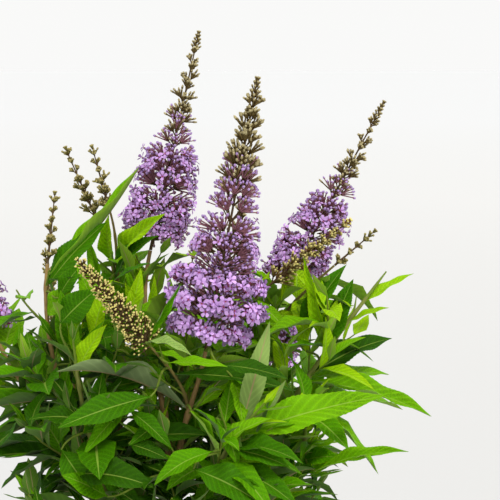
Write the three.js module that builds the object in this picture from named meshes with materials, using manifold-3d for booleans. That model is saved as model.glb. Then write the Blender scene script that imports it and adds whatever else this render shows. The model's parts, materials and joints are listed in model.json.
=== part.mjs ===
// Butterfly bush: a young, compact shrub in flower, about half a metre tall, rooted in the ground.
//
// A short woody trunk forks into seven boughs. Leafy stems rise from the boughs' tips and from the
// trunk's sides, with leaves in crossed pairs and short twigs in their axils. Most stems end in a
// flower spike: open blossom in its lower part, and buds above it up to the tip.
//
// Millimetres and degrees, +Z up. The ground is Z = 0 and the origin is the centre of the trunk's
// flat cut. -Y is the shrub's front, +X its right. A heading of 0 is +X, and 90 is +Y, the back.

import * as THREE from "three";
import { mergeVertices } from "three/addons/utils/BufferGeometryUtils.js";
import Module from "manifold-3d";

const { Manifold, Mesh: SolidMesh } = await loadedKernel();

// ---------------------------------------------------------------- driving dimensions

const GAP = 0.3; // between one subcomponent and the next
const WELD = 1e-3; // corners this near together are one
const CLEARANCE = 0.35; // kept round a leaf or twig, on each side
const SLIVER = { thin: 0.02, short: 0.08 }; // a face thinner than this is mended, and its side closed

const TRUNK = { height: 38, footRadius: 10.5, headRadius: 13, flare: 6.5, lean: [-2, -2], collar: 0.5 };
const BOUGH = { seatRadius: 9.6, footRadius: 3.1, tipRadius: 2.7, swelling: 1.3 };
const STEM = { footRadius: 2.25, tipRadius: 1.35 };
const SIDE_STEM = { footRadius: 1.45, tipRadius: 0.95 };
const TWIG = { footRadius: 0.95, length: 46, angle: 42, share: 0.6 };
const NODE_SPACING = 25; // between one pair of leaves and the next
const LEAF = {
  length: 88,
  width: 25,
  angle: 58,
  takes: 3,
  nudges: [[0, 0], [0, 7], [0, -7], [8, 0], [-8, 0], [8, 9], [-8, 9], [8, -9], [-8, -9], [0, 16], [0, -16]],
  keel: 0.02,
  keelAt: 0.16,
  // share of the length, half the width there as a share of the width, and rise as a share of arch
  waists: [[0.4, 0.5, 1]],
  fullWaists: [[0.25, 0.45, 0.8], [0.62, 0.42, 0.9]],
};
const CROWN = { centre: [4, 8, 205], radius: 172, halfHeight: 172, skirt: 34 };

const BARK = { color: 0x6b5238, roughness: 0.9, metalness: 0 };
const CANE = { color: 0x7a6a3c, roughness: 0.8, metalness: 0 };
const LEAVES = { color: 0x4f8a1c, roughness: 0.55, metalness: 0 };
const BLOSSOM = { color: 0xa678c8, roughness: 0.7, metalness: 0 };
const BUDS = { color: 0x8c8a45, roughness: 0.75, metalness: 0 };

// Boughs: the heading of the foot on the trunk's head, and the tip.
const BOUGHS = {
  front: { heading: -96, tip: [-1, -36, 215] },
  front_right: { heading: -45, tip: [14, -46, 150] },
  right: { heading: 4, tip: [40, -4, 152] },
  rear_right: { heading: 54, tip: [32, 40, 160] },
  rear: { heading: 103, tip: [-6, 46, 160] },
  rear_left: { heading: 152, tip: [-36, 26, 165] },
  front_left: { heading: 207, tip: [-38, -26, 152] },
};

// Masses of foliage: the bough whose tip each meets (or its heading on the trunk's side), the top of
// its stem, and the tip of the spike or shoot that the stem ends in. turn is the heading of the
// first pair of leaves. sides are smaller stems that fork from the main one, at a share of it.
// set are the leaves that stand where they are set, in place of the rule's: the stem (0 is the main
// one), the share along it, the reach from base to tip, the way the blade faces, its width, its tint.
const MASSES = {
  front: {
    bough: "front",
    top: [20, -40, 296],
    tip: [54, -25, 474],
    spike: "flower",
    wide: 36,
    turn: 20,
    sides: [{ at: 0.5, top: [-15, -55, 301], tip: [-61, -75, 360], spike: "bud", wide: 14 }],
    set: [
      { stem: 0, at: 0.52, reach: [-84, -30, 30], face: [0.06, 0.6, 0.79], width: 21 },
      { stem: 0, at: 0.53, reach: [32, -12, 34], face: [0.2, 0.9, -0.4], width: 10 },
      { stem: 1, at: 0.55, reach: [78, -20, -8], face: [0.1, -0.42, 0.9], width: 19 },
      { stem: 1, at: 0.56, reach: [-24, 16, 26], face: [0.4, -0.3, 0.85], width: 10 },
      { stem: 1, at: 0.93, reach: [25, -10, -9], face: [0.2, -0.5, 0.8], width: 7 },
    ],
  },
  middle: {
    bough: "front",
    top: [-19, 30, 356],
    tip: [14, 50, 505],
    spike: "flower",
    wide: 25,
    turn: 60,
    set: [
      { stem: 0, at: 0.67, reach: [-14, -11, 30], face: [-0.3, -0.9, 0.2], width: 11 },
      { stem: 0, at: 0.71, reach: [-14, -5, 38], face: [-0.5, -0.8, 0.2], width: 7 },
      { stem: 0, at: 0.69, reach: [6, -9, 32], face: [0.3, -0.9, 0.2], width: 8 },
    ],
  },
  inner_right: {
    bough: "front_right",
    top: [44, -81, 252],
    tip: [58, -90, 270],
    turn: -20,
    set: [
      { stem: 0, at: 0.98, reach: [19, 5, 70], face: [0.1, 0.97, -0.1], width: 15 },
      { stem: 0, at: 0.97, reach: [30, 6, 33], face: [0.3, 0.9, -0.2], width: 11 },
      { stem: 0, at: 0.94, reach: [96, 10, 25], face: [-0.1, -0.75, 0.65], width: 25 },
      { stem: 0, at: 0.85, reach: [48, -26, -5], face: [0, -0.5, 0.86], width: 19 },
      { stem: 0, at: 0.72, reach: [-32, -30, -10], face: [-0.2, -0.6, 0.77], width: 25 },
      { stem: 0, at: 0.71, reach: [52, -34, -20], face: [0.1, -0.6, 0.8], width: 24 },
    ],
  },
  low_front: {
    bough: "front_right",
    top: [4, -88, 196],
    tip: [0, -104, 212],
    turn: 15,
    set: [],
  },
  low_right: {
    bough: "right",
    top: [86, -2, 234],
    tip: [86, -4, 256],
    turn: 10,
    set: [
      { stem: 0, at: 0.62, reach: [66, 14, 17], face: [-0.2, -0.5, 0.84], width: 15 },
      { stem: 0, at: 0.8, reach: [26, -22, 8], face: [0.2, -0.75, 0.6], width: 19 },
    ],
  },
  right: {
    bough: "right",
    top: [127, -6, 328],
    tip: [140, -4, 345],
    turn: 35,
    sides: [],
    set: [
      { stem: 0, at: 0.66, reach: [84, -10, -22], face: [0.1, -0.5, 0.85], width: 18 },
      { stem: 0, at: 0.68, reach: [58, 30, 22], face: [-0.2, -0.6, 0.78], width: 24 },
      { stem: 0, at: 0.67, reach: [58, 42, -3], face: [0, -0.5, 0.86], width: 16 },
      { stem: 0, at: 0.79, reach: [18, 10, 47], face: [-0.5, -0.85, 0.2], width: 18 },
      { stem: 0, at: 0.8, reach: [-28, -32, 5], face: [0, -0.1, 0.99], width: 12 },
      { stem: 0, at: 0.78, reach: [-15, -14, 66], face: [-0.5, -0.85, 0.1], width: 10 },
      { stem: 0, at: 0.97, reach: [36, 12, 20], face: [-0.3, -0.5, 0.8], width: 9 },
      { stem: 0, at: 0.9, reach: [27, -14, 12], face: [-0.3, -0.3, 0.9], width: 10 },
    ],
  },
  rear_right: {
    bough: "rear_right",
    top: [72, 50, 327],
    tip: [142, 60, 457],
    spike: "flower",
    wide: 23,
    turn: 75,
    sides: [
      { at: 0.66, top: [61, 4, 334], tip: [116, -8, 380], spike: "bud", wide: 11 },
      { at: 0.7, top: [106, 16, 347], tip: [134, 16, 371], spike: "bud" },
    ],
    set: [],
  },
  back_right: {
    bough: "rear_right",
    top: [67, 112, 262],
    tip: [92, 142, 330],
    spike: "flower",
    turn: 30,
    set: [],
  },
  back: {
    bough: "rear",
    top: [28, 92, 294],
    tip: [49, 128, 404],
    spike: "flower",
    turn: 80,
    set: [],
  },
  back_left: {
    bough: "rear",
    top: [2, 108, 284],
    tip: [8, 134, 352],
    spike: "flower",
    turn: 45,
    set: [],
  },
  upper_left: {
    bough: "rear_left",
    top: [-56, 40, 376],
    tip: [-78, 45, 426],
    spike: "bud",
    wide: 9,
    turn: 15,
    sides: [{ at: 0.75, top: [-46, 28, 382], tip: [-58, 22, 428], spike: "bud", wide: 9 }],
    set: [
      { stem: 0, at: 0.87, reach: [0, -24, 34], face: [-0.3, -0.9, 0.1], width: 13 },
      { stem: 0, at: 0.85, reach: [38, -41, 40], face: [-0.6, -0.7, 0.35], width: 17 },
      { stem: 0, at: 0.81, reach: [31, -34, 33], face: [-0.5, -0.7, 0.5], width: 16 },
      { stem: 0, at: 0.77, reach: [35, -42, 26], face: [0.3, 0.5, 0.8], width: 14 },
    ],
  },
  far_left: {
    bough: "rear_left",
    top: [-124, 20, 300],
    tip: [-150, 30, 378],
    spike: "flower",
    turn: 60,
    set: [],
  },
  back_far_left: {
    bough: "rear_left",
    top: [-84, 94, 280],
    tip: [-99, 116, 342],
    spike: "bud",
    turn: 0,
    set: [],
  },
  left: {
    bough: "front_left",
    top: [-86, -5, 350],
    tip: [-81, 0, 398],
    spike: "bud",
    turn: 30,
    set: [
      { stem: 0, at: 0.93, reach: [41, 3, 44], face: [-0.5, -0.65, 0.57], width: 24 },
      { stem: 0, at: 0.96, reach: [70, 8, 66], face: [-0.66, -0.2, 0.72], width: 11 },
      { stem: 0, at: 0.84, reach: [20, -14, 22], face: [-0.4, -0.8, 0.45], width: 18 },
      { stem: 0, at: 0.76, reach: [27, -12, 32], face: [-0.4, 0.6, 0.7], width: 24 },
      { stem: 0, at: 0.72, reach: [58, 10, 12], face: [-0.1, -0.6, 0.8], width: 22 },
    ],
  },
  front_left: {
    bough: "front_left",
    top: [-64, -46, 287],
    tip: [-66, -48, 306],
    turn: 10,
    set: [
      { stem: 0, at: 0.97, reach: [20, -8, 33], face: [-0.5, -0.8, 0.35], width: 16 },
      { stem: 0, at: 0.6, reach: [78, -10, 10], face: [0, -0.55, 0.83], width: 25 },
      { stem: 0, at: 0.48, reach: [34, -24, -26], face: [-0.4, -0.7, 0.6], width: 15 },
    ],
  },
  skirt_front: { heading: -105, top: [-24, -92, 150], tip: [-28, -110, 166], turn: 80, set: [] },
  skirt_front_right: { heading: -60, top: [56, -76, 196], tip: [62, -88, 214], turn: 10, set: [] },
  skirt_right: { heading: -15, top: [102, -30, 146], tip: [120, -36, 160], turn: 60, set: [] },
  skirt_back_right: { heading: 35, top: [84, 62, 200], tip: [98, 72, 218], turn: 0, set: [] },
  skirt_back: { heading: 85, top: [6, 106, 140], tip: [8, 124, 154], turn: 20, set: [] },
  skirt_back_left: { heading: 130, top: [-66, 84, 198], tip: [-76, 96, 216], turn: 50, set: [] },
  skirt_left: { heading: 180, top: [-106, 8, 146], tip: [-122, 10, 160], turn: 75, set: [] },
  skirt_front_left: { heading: 225, top: [-84, -62, 190], tip: [-94, -70, 208], turn: 5, set: [] },
};

// Spikes: reach is the widest radius as a share of the length, where a mass doesn't give it as wide.
// Up to the share `open` the blossom is out, its whorls `cyme` apart. Above that are the buds, the
// whorls `whorl` apart at the foot and `last` at the tip. sides is twice the lobes of a whorl.
const SPIKES = {
  flower: { reach: 0.18, open: 0.43, cyme: 13, whorl: 15, last: 7, sides: 8 },
  bud: { reach: 0.15, open: 0, cyme: 0, whorl: 9, last: 6, sides: 6 },
};

// ---------------------------------------------------------------- small helpers

async function loadedKernel() {
  const wasm = await Module();
  wasm.setup();
  return wasm;
}

const UP = new THREE.Vector3(0, 0, 1);
const radians = THREE.MathUtils.degToRad;
const mix = THREE.MathUtils.lerp;
const vector = (numbers) => new THREE.Vector3(...numbers);
const onGrid = (number) => Math.round(number / WELD) * WELD;
const along = (start, direction, distance) => start.clone().addScaledVector(direction, distance);

// A repeatable run of numbers from 0 to 1.
function numbersFrom(seed) {
  let state = seed * 7919 + 12345;
  const next = () => {
    state = (state * 1664525 + 1013904223) % 4294967296;
    return state / 4294967296;
  };
  for (let warmUp = 0; warmUp < 4; warmUp += 1) next();
  return next;
}

// The part of `direction` that is square to `axis`, as a unit vector.
function squareTo(axis, direction) {
  return direction.clone().addScaledVector(axis, -axis.dot(direction)).normalize();
}

// The unit vector square to a limb's direction that points to a heading in degrees.
function headingRound(direction, heading) {
  const right = squareTo(direction, new THREE.Vector3(1, 0, 0));
  const back = direction.clone().cross(right);
  const turn = radians(heading);
  return right.multiplyScalar(Math.cos(turn)).addScaledVector(back, Math.sin(turn));
}

// A curve that leaves `start` along `startWay` and reaches `end` along `endWay`.
function swept(start, startWay, end, endWay, firm = 0.38) {
  const pull = start.distanceTo(end) * firm;
  return new THREE.CubicBezierCurve3(
    start,
    along(start, startWay, pull),
    along(end, endWay, -pull),
    end,
  );
}

// ---------------------------------------------------------------- solids

// A closed three.js geometry as a solid.
function solidOf(geometry, weld = 1e-4) {
  const bare = geometry.clone();
  bare.deleteAttribute("normal");
  bare.deleteAttribute("uv");
  const merged = mergeVertices(bare, weld);
  return new Manifold(
    new SolidMesh({
      numProp: 3,
      vertProperties: merged.attributes.position.array,
      triVerts: new Uint32Array(merged.index.array),
    }),
  );
}

// A solid's surface as a three.js geometry.
function geometryOf(solid) {
  const { numProp, vertProperties, triVerts } = solid.getMesh();
  const positions = new Float32Array((vertProperties.length / numProp) * 3);
  for (let i = 0; i < positions.length / 3; i += 1) {
    positions.set(vertProperties.subarray(i * numProp, i * numProp + 3), i * 3);
  }
  const geometry = new THREE.BufferGeometry();
  geometry.setAttribute("position", new THREE.BufferAttribute(positions, 3));
  geometry.setIndex(new THREE.BufferAttribute(triVerts, 1));
  return geometry;
}

// Moves each vertex of a geometry to where `place` puts its x, y and z.
function reshaped(geometry, place) {
  const positions = geometry.attributes.position;
  for (let i = 0; i < positions.count; i += 1) {
    const moved = place(positions.getX(i), positions.getY(i), positions.getZ(i));
    positions.setXYZ(i, moved.x, moved.y, moved.z);
  }
  return geometry;
}

// A limb along a curve: a unit cylinder or cone whose rings are carried along it without twisting.
// `radius` gives the radius at a share of the limb, and at a turn round it.
function limb(axis, { sides, steps, radius, pointed = false }) {
  const blank = pointed
    ? new THREE.ConeGeometry(1, 1, sides, steps)
    : new THREE.CylinderGeometry(1, 1, 1, sides, steps);
  const rings = [];
  let across = headingRound(axis.getTangent(0), 0);
  for (let i = 0; i <= steps; i += 1) {
    const tangent = axis.getTangent(i / steps);
    across = squareTo(tangent, across);
    rings.push({ centre: axis.getPoint(i / steps), across, square: across.clone().cross(tangent) });
  }
  const place = (x, y, z) => {
    const share = y + 0.5;
    const ring = rings[Math.round(share * steps)];
    const size = Math.hypot(x, z) > 0 ? radius(share, Math.atan2(z, x)) / Math.hypot(x, z) : 0;
    return ring.centre
      .clone()
      .addScaledVector(ring.across, x * size)
      .addScaledVector(ring.square, z * size);
  };
  return solidOf(reshaped(blank, place));
}

// A leaf: a blade pointed at both ends, its root on the stem's axis, with a keel for its midrib. It
// has one three-cornered waist, or two where the leaf is `full`. `grown` swells it by a margin and
// `from` starts it further out, for a clearance test.
function leafSolid(leaf, grown = 0, from = 0) {
  const reach = leaf.tip.clone().sub(leaf.base);
  const length = reach.length();
  const ahead = reach.clone().divideScalar(length);
  const facing = squareTo(ahead, leaf.face);
  const across = facing.clone().cross(ahead);
  const waists = leaf.full ? LEAF.fullWaists : LEAF.waists;
  const last = waists.length + 1;
  const on = (share, rise) => along(along(leaf.base, ahead, share * length), facing, rise);
  const place = (x, y, z) => {
    const step = Math.round((0.5 - Math.asin(THREE.MathUtils.clamp(y, -1, 1)) / Math.PI) * last);
    if (step === 0) return on(from, from * leaf.arch * length);
    if (step === last) return along(leaf.tip, ahead, 2 * grown);
    const [share, width, rise] = waists[step - 1];
    const lift = rise * leaf.arch * length;
    const deep = LEAF.keel * length * (last === 2 ? 1 : 1.3 - 0.6 * step);
    const near = last === 2 && !from; // the keel's corner stands near the root, to sink it well in
    const under = near ? LEAF.keelAt / share : 1;
    if (x < 0) return on(near ? LEAF.keelAt : share, under * lift - Math.max(deep, 0.5) - 2 * grown);
    return along(on(share, lift + grown), across, -Math.sign(z) * (width * leaf.width + 2 * grown));
  };
  return solidOf(reshaped(new THREE.SphereGeometry(1, 3, last), place));
}

// A spike: one body round its axis. Each whorl is a ring of lobes, and between two whorls is a
// narrower ring. The lobes are shallow in the open blossom and stand out star-like in the buds.
function spikeSolid(spike, grown = 0) {
  const { rings, sides } = spike;
  const last = rings.length + 1;
  const place = (x, y, z) => {
    const step = Math.round((0.5 - Math.asin(THREE.MathUtils.clamp(y, -1, 1)) / Math.PI) * last);
    if (step === 0) return spike.axis.getPoint(0);
    if (step === last) return spike.axis.getPoint(1);
    const { share, radius, hollow, turn } = rings[step - 1];
    const way = spike.axis.getTangent(share);
    const corner = Math.round((Math.atan2(z, x) / Math.PI) * (sides / 2));
    const size = radius * (Math.abs(corner + turn) % 2 === 0 ? 1 : hollow) + grown;
    const heading = (360 / sides) * corner;
    return along(spike.axis.getPoint(share), headingRound(way, heading), size);
  };
  return solidOf(reshaped(new THREE.SphereGeometry(1, sides, last), place));
}

// The largest closed body of a join, with any sealed hollow filled and any scrap dropped. Its
// slivers are mended, and its corners set on a grid, so that those nearer together than a weld's
// width become one. A piece that then only meets the rest in an edge is left out.
function joined(solids) {
  let body = largest(Manifold.union(solids).simplify(0.004));
  body = largest(solidOf(mended(geometryOf(body))));
  for (let round = 0; round < 3; round += 1) {
    const geometry = reshaped(geometryOf(body), (...corner) => vector(corner.map(onGrid)));
    body = largest(solidOf(geometry, WELD));
  }
  const pinch = pinchOf(body);
  if (!pinch) return body;
  const near = solids.map((solid) => distanceTo(solid.boundingBox(), pinch));
  const dropped = near.lastIndexOf(Math.min(...near));
  return joined(solids.filter((_, number) => number !== dropped));
}

// A geometry without its slivers. A face thinner than SLIVER.thin has its shortest side closed up
// where that is shorter than SLIVER.short, and its longest side turned where that gives better faces.
function mended(geometry) {
  const { index, attributes } = geometry;
  const spot = (corner) => new THREE.Vector3().fromBufferAttribute(attributes.position, corner);
  const points = Array.from({ length: attributes.position.count }, (_, corner) => spot(corner));
  const length = ([from, to]) => points[from].distanceTo(points[to]);
  const upright = ([a, b, c]) => points[b].clone().sub(points[a]).cross(points[c].clone().sub(points[a]));
  const sidesOf = ([a, b, c]) => [[a, b, c], [b, c, a], [c, a, b]].sort((m, n) => length(m) - length(n));
  const thickness = (face) => upright(face).length() / length(sidesOf(face)[2]);
  let faces = Array.from({ length: index.count / 3 }, (_, i) => [0, 1, 2].map((k) => index.getX(3 * i + k)));

  for (let round = 0, slivers = 1; round < 20 && slivers > 0; round += 1) {
    const beside = new Map(); // the face that has each side, by the side's two corners in turn
    const around = points.map(() => []); // the faces at each corner
    for (const face of faces) {
      face.forEach((from, k) => beside.set(`${from} ${face[(k + 1) % 3]}`, face));
      face.forEach((corner) => around[corner].push(face));
    }
    const changed = new Map(); // what takes the place of each face that this round changes
    const thin = faces.filter((face) => thickness(face) < SLIVER.thin);
    slivers = 0;
    for (const face of thin) {
      const swap = closedUp(sidesOf(face)[0]) ?? turned(face);
      if (!swap) continue;
      swap.forEach((replacement, old) => changed.set(old, replacement));
      slivers += 1;
    }
    faces = faces.flatMap((face) => changed.get(face) ?? [face]);

    // Closes a short side up: its second corner becomes its first.
    function closedUp([kept, gone]) {
      if (length([kept, gone]) > SLIVER.short) return null;
      const hit = new Set([...around[kept], ...around[gone]]);
      const near = (corner) => new Set(around[corner].flat());
      const shared = [...near(kept)].filter((corner) => near(gone).has(corner));
      if (shared.length !== 4 || [...hit].some((face) => changed.has(face))) return null;
      const moved = around[gone].filter((face) => !face.includes(kept));
      const closed = moved.map((face) => face.map((corner) => (corner === gone ? kept : corner)));
      if (closed.some((face, i) => upright(face).dot(upright(moved[i])) < 0)) return null;
      const swap = new Map([...hit].map((face) => [face, [face]]));
      around[gone].forEach((face) => swap.set(face, []));
      moved.forEach((face, i) => swap.set(face, [closed[i]]));
      return swap;
    }

    // Turns the side that a face shares with the one beyond its longest side.
    function turned(face) {
      const [from, to, corner] = sidesOf(face)[2];
      const other = beside.get(`${to} ${from}`);
      const far = other.find((point) => point !== from && point !== to);
      if (changed.has(face) || changed.has(other)) return null;
      if (beside.has(`${corner} ${far}`) || beside.has(`${far} ${corner}`)) return null;
      const pair = [[from, far, corner], [far, to, corner]];
      if (pair.some((next) => upright(next).dot(upright(other)) <= 0)) return null;
      if (Math.min(...pair.map(thickness)) <= thickness(face)) return null;
      const hit = new Set([from, to, corner, far].flatMap((point) => around[point]));
      if ([...hit].some((near) => changed.has(near))) return null;
      const swap = new Map([...hit].map((near) => [near, [near]]));
      return swap.set(face, pair).set(other, []);
    }
  }
  const result = new THREE.BufferGeometry().setFromPoints(points);
  return result.setIndex(faces.flat());
}

// How far a point is outside a box, with small boxes counted nearer than large ones.
function distanceTo({ min, max }, point) {
  const outside = [0, 1, 2].map((k) => Math.max(min[k] - point[k], 0, point[k] - max[k]));
  return Math.hypot(...outside) + 1e-3 * Math.hypot(...max.map((top, k) => top - min[k]));
}

// The middle of an edge at which more than two faces of a body meet, if there is one.
function pinchOf(body) {
  const { numProp, vertProperties, triVerts } = body.getMesh();
  const corner = (v) => Array.from(vertProperties.slice(v * numProp, v * numProp + 3), onGrid);
  const seen = new Map();
  for (let i = 0; i < triVerts.length; i += 3) {
    for (const [from, to] of [[0, 1], [1, 2], [2, 0]]) {
      const ends = [corner(triVerts[i + from]), corner(triVerts[i + to])];
      const key = ends.map((end) => end.map((x) => x.toFixed(3)).join()).sort().join(" ");
      seen.set(key, (seen.get(key) ?? 0) + 1);
      if (seen.get(key) > 2) return ends[0].map((x, k) => (x + ends[1][k]) / 2);
    }
  }
  return null;
}

function largest(solid) {
  return solid.decompose().reduce((best, body) => (body.volume() > best.volume() ? body : best));
}

// ---------------------------------------------------------------- how the shrub grows

// The trunk: a flat cut at the ground, a root flare in five lobes, a waist, and a knobbly head.
function trunkSolid() {
  const axis = new THREE.LineCurve3(new THREE.Vector3(), trunkHead());
  axis.getTangent = () => UP.clone(); // so that both cuts are level
  return limb(axis, { sides: 15, steps: 5, radius: trunkRadius });
}

function trunkRadius(share, turn) {
  const { footRadius, headRadius, flare } = TRUNK;
  const spread = flare * (1 - share) ** 3 * (0.72 + 0.28 * Math.cos(5 * turn));
  const swell = (headRadius - footRadius) * share ** 2;
  return footRadius + spread + swell - 1.6 * Math.sin(Math.PI * share);
}

function trunkHead() {
  return new THREE.Vector3(TRUNK.lean[0], TRUNK.lean[1], TRUNK.height);
}

// A bough's curve, from its seat on the trunk's head to its tip.
function boughAxis({ heading, tip }) {
  const seat = along(trunkHead(), headingRound(UP, heading), BOUGH.seatRadius);
  seat.z += GAP;
  const end = vector(tip);
  const leaning = end.clone().sub(seat).setZ(0).multiplyScalar(0.6);
  const endWay = leaning.setZ(end.z - seat.z).normalize();
  return swept(seat, UP, end, endWay);
}

function boughSolid(axis) {
  const { footRadius, tipRadius, swelling } = BOUGH;
  const radius = (share) => mix(footRadius, tipRadius, share) + swelling * share ** 14;
  return limb(axis, { sides: 6, steps: 7, radius });
}

// Where a mass's main stem starts: beside the others on its bough's tip, or on the trunk's side.
function stemSeat(mass) {
  if (!mass.bough) {
    const out = headingRound(UP, mass.heading);
    const way = along(out.clone().multiplyScalar(0.9), UP, 0.45).normalize();
    const surface = trunkRadius(TRUNK.collar + 0.06, radians(mass.heading)) + 0.15;
    const tilt = STEM.footRadius * way.z; // how far the foot's upper edge reaches back
    return { start: along(trunkHead().multiplyScalar(TRUNK.collar), out, surface + tilt + GAP), way };
  }
  const axis = boughAxis(BOUGHS[mass.bough]);
  const way = axis.getTangent(1);
  const sharing = Object.values(MASSES).filter((other) => other.bough === mass.bough);
  const place = sharing.indexOf(mass);
  const apart = sharing.length > 1 ? (STEM.footRadius + 0.45) / Math.sin(Math.PI / sharing.length) : 0;
  const first = vector(sharing[0].top).sub(axis.getPoint(1));
  const heading = THREE.MathUtils.radToDeg(Math.atan2(first.y, first.x));
  const side = headingRound(way, heading + (360 / sharing.length) * place);
  const start = along(along(axis.getPoint(1), side, apart), way, GAP);
  return { start, way };
}

// The curves of a mass's main stem and of the side stems that fork from it.
function stemAxes(mass) {
  const seat = stemSeat(mass);
  const top = vector(mass.top);
  const main = swept(seat.start, seat.way, top, vector(mass.tip).sub(top).normalize());
  const sides = (mass.sides ?? []).map((side) => {
    const sideTop = vector(side.top);
    const endWay = vector(side.tip).sub(sideTop).normalize();
    const start = main.getPoint(side.at);
    const startWay = sideTop.clone().sub(start).normalize().add(main.getTangent(side.at)).normalize();
    return swept(start, startWay, sideTop, endWay);
  });
  return [main, ...sides];
}

// A leaf by the rule, in LEAF.takes ways of standing, of which the first that is clear is grown:
// out from the stem at LEAF.angle, drooping, with its upper face to the sky and the stem's tip.
function leafTakes(axis, share, heading, length, random) {
  return Array.from({ length: LEAF.takes }, () => {
    const base = axis.getPoint(share);
    const stemWay = axis.getTangent(share);
    const side = headingRound(stemWay, heading + (random() - 0.5) * 44);
    const angle = radians(LEAF.angle + (random() - 0.5) * 36);
    const size = length * (0.8 + 0.32 * random());
    const droop = 0.04 + 0.3 * random();
    const ahead = stemWay.clone().multiplyScalar(Math.cos(angle)).addScaledVector(side, Math.sin(angle));
    const tip = along(along(base, ahead, size), UP, -droop * size);
    const roll = (random() - 0.5) * 1.1;
    const face = stemWay.clone().multiplyScalar(0.5).add(UP).addScaledVector(ahead.cross(UP), roll);
    const width = (size / LEAF.length) ** 0.8 * LEAF.width * (0.85 + 0.3 * random());
    return { base, tip, face, width, arch: 0.04 + 0.2 * droop };
  });
}

// A set leaf, as it is given and then turned a little more and more to each side.
function setTakes(axes, { stem, at, reach, face, width }) {
  const base = axes[stem].getPoint(at);
  const across = vector(face).cross(vector(reach)).normalize();
  return LEAF.nudges.map(([turned, lifted]) => {
    const way = vector(reach).applyAxisAngle(across, radians(-lifted));
    way.applyAxisAngle(vector(face).normalize(), radians(turned));
    return { base, tip: base.clone().add(way), face: vector(face), width, arch: 0.07, full: true };
  });
}

// A twig in a leaf's axil, with two pairs of small leaves and one at its tip.
function grownTwig(axis, share, heading, leafLength, random) {
  const base = axis.getPoint(share);
  const stemWay = axis.getTangent(share);
  const side = headingRound(stemWay, heading + (random() - 0.5) * 30);
  const angle = radians(TWIG.angle + (random() - 0.5) * 16);
  const ahead = stemWay.clone().multiplyScalar(Math.cos(angle)).addScaledVector(side, Math.sin(angle));
  const length = TWIG.length * (0.65 + 0.6 * random());
  const end = along(along(base, ahead, length), UP, 0.12 * length);
  const twigAxis = swept(base, ahead, end, along(ahead.clone(), UP, 0.5).normalize());
  const turn = 360 * random();
  const leaves = [0.42, 0.72, 0.93].flatMap((place, pair) =>
    [0, 180].map((half) =>
      leafTakes(twigAxis, place, turn + 90 * pair + half, leafLength * (0.72 - 0.12 * pair), random),
    ),
  );
  return { axis: twigAxis, leaves };
}

// Everything that one mass grows, in order: the set leaves, then pair by pair up the main stem.
function grownMass(mass, seed) {
  const random = numbersFrom(seed);
  const axes = stemAxes(mass);
  const leaves = mass.set.map((leaf) => setTakes(axes, leaf));
  const twigs = [];
  axes.forEach((axis, number) => {
    const main = number === 0;
    const taken = mass.set.filter((leaf) => leaf.stem === number).map((leaf) => leaf.at);
    const pairs = Math.round(axis.getLength() / NODE_SPACING);
    for (let pair = 0; pair < pairs; pair += 1) {
      const share = (pair + 0.45) / pairs;
      const heading = mass.turn + 90 * pair + 12 * number;
      const length = LEAF.length * (main ? mix(1, 0.62, share ** 2) : 0.5);
      for (const half of [0, 180]) {
        const leaf = leafTakes(axis, share, heading + half, length, random);
        const free = taken.every((at) => Math.abs(at - share) > 0.55 / pairs);
        if (free) leaves.push(leaf);
        const wanted = random() < TWIG.share;
        const twig = grownTwig(axis, share, heading + half, length, random);
        if (main && wanted && share < 0.85) twigs.push(twig);
      }
    }
  });
  return { axes, leaves, twigs };
}

// A spike's curve and its rings, whorl by whorl.
function grownSpike(foot, footWay, part) {
  const rule = SPIKES[part.spike];
  const tip = vector(part.tip);
  const axis = swept(along(foot, footWay, GAP), footWay, tip, tip.clone().sub(foot).normalize());
  const length = axis.getLength();
  const widest = part.wide ?? rule.reach * length;
  const rings = [{ share: 0.012, radius: 1.3, hollow: 1, turn: 0 }];
  let height = 0.04 * length;
  for (let whorl = 0; height < 0.93 * length; whorl += 1) {
    const share = height / length;
    const open = share < rule.open;
    const step = open ? rule.cyme : mix(rule.whorl, rule.last, share);
    const crest = (height + (open ? 0.4 : 0.62) * step) / length;
    if (crest > 0.965) break; // a short spike's last whorl would reach past its tip
    const radius = widest * spikeOutline(crest, rule.open);
    rings.push({ share: crest, radius, hollow: open ? 0.86 : 0.42, turn: whorl % 2 });
    height += step;
    const narrow = open ? 0.7 * radius : Math.max(0.2 * radius, 0.9);
    rings.push({ share: Math.min(height / length, 0.97), radius: narrow, hollow: 1, turn: 0 });
  }
  rings.push({ share: 0.985, radius: 0.11 * widest, hollow: 1, turn: 0 });
  return { axis, rings, sides: rule.sides };
}

// How far a spike reaches at a share of its axis, as a share of its widest: full and round where
// the blossom is open, then a long taper of buds.
function spikeOutline(share, open) {
  if (open === 0) return mix(0.8, 0.2, share);
  if (share > open) return mix(0.68, 0.12, (share - open) / (1 - open));
  return mix(0.78, 0.68, share / open) + 0.24 * Math.sin((Math.PI * share) / open);
}

// ---------------------------------------------------------------- keeping apart

const placed = []; // every limb, leaf and twig so far, with its box and the mass it belongs to

function remember(solid, mass) {
  placed.push({ solid, mass, box: solid.boundingBox() });
}

function boxesMeet(a, b) {
  return [0, 1, 2].every((k) => a.min[k] <= b.max[k] && b.min[k] <= a.max[k]);
}

// True where a swelled piece meets nothing placed so far. Its own mass is tested with `outer`,
// which leaves out the root that is sunk in the stem.
function isClear(whole, outer, mass) {
  const box = whole.boundingBox();
  return placed.every((other) => {
    const tested = other.mass === mass ? outer : whole;
    return !boxesMeet(box, other.box) || tested.intersect(other.solid).isEmpty();
  });
}

// The space that the crown may fill: an ellipsoid, cut off below at the skirt.
function inCrown(point) {
  const offset = point.clone().sub(vector(CROWN.centre));
  const wide = Math.hypot(offset.x, offset.y) / CROWN.radius;
  return Math.hypot(wide, offset.z / CROWN.halfHeight) < 1 && point.z > CROWN.skirt;
}

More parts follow.
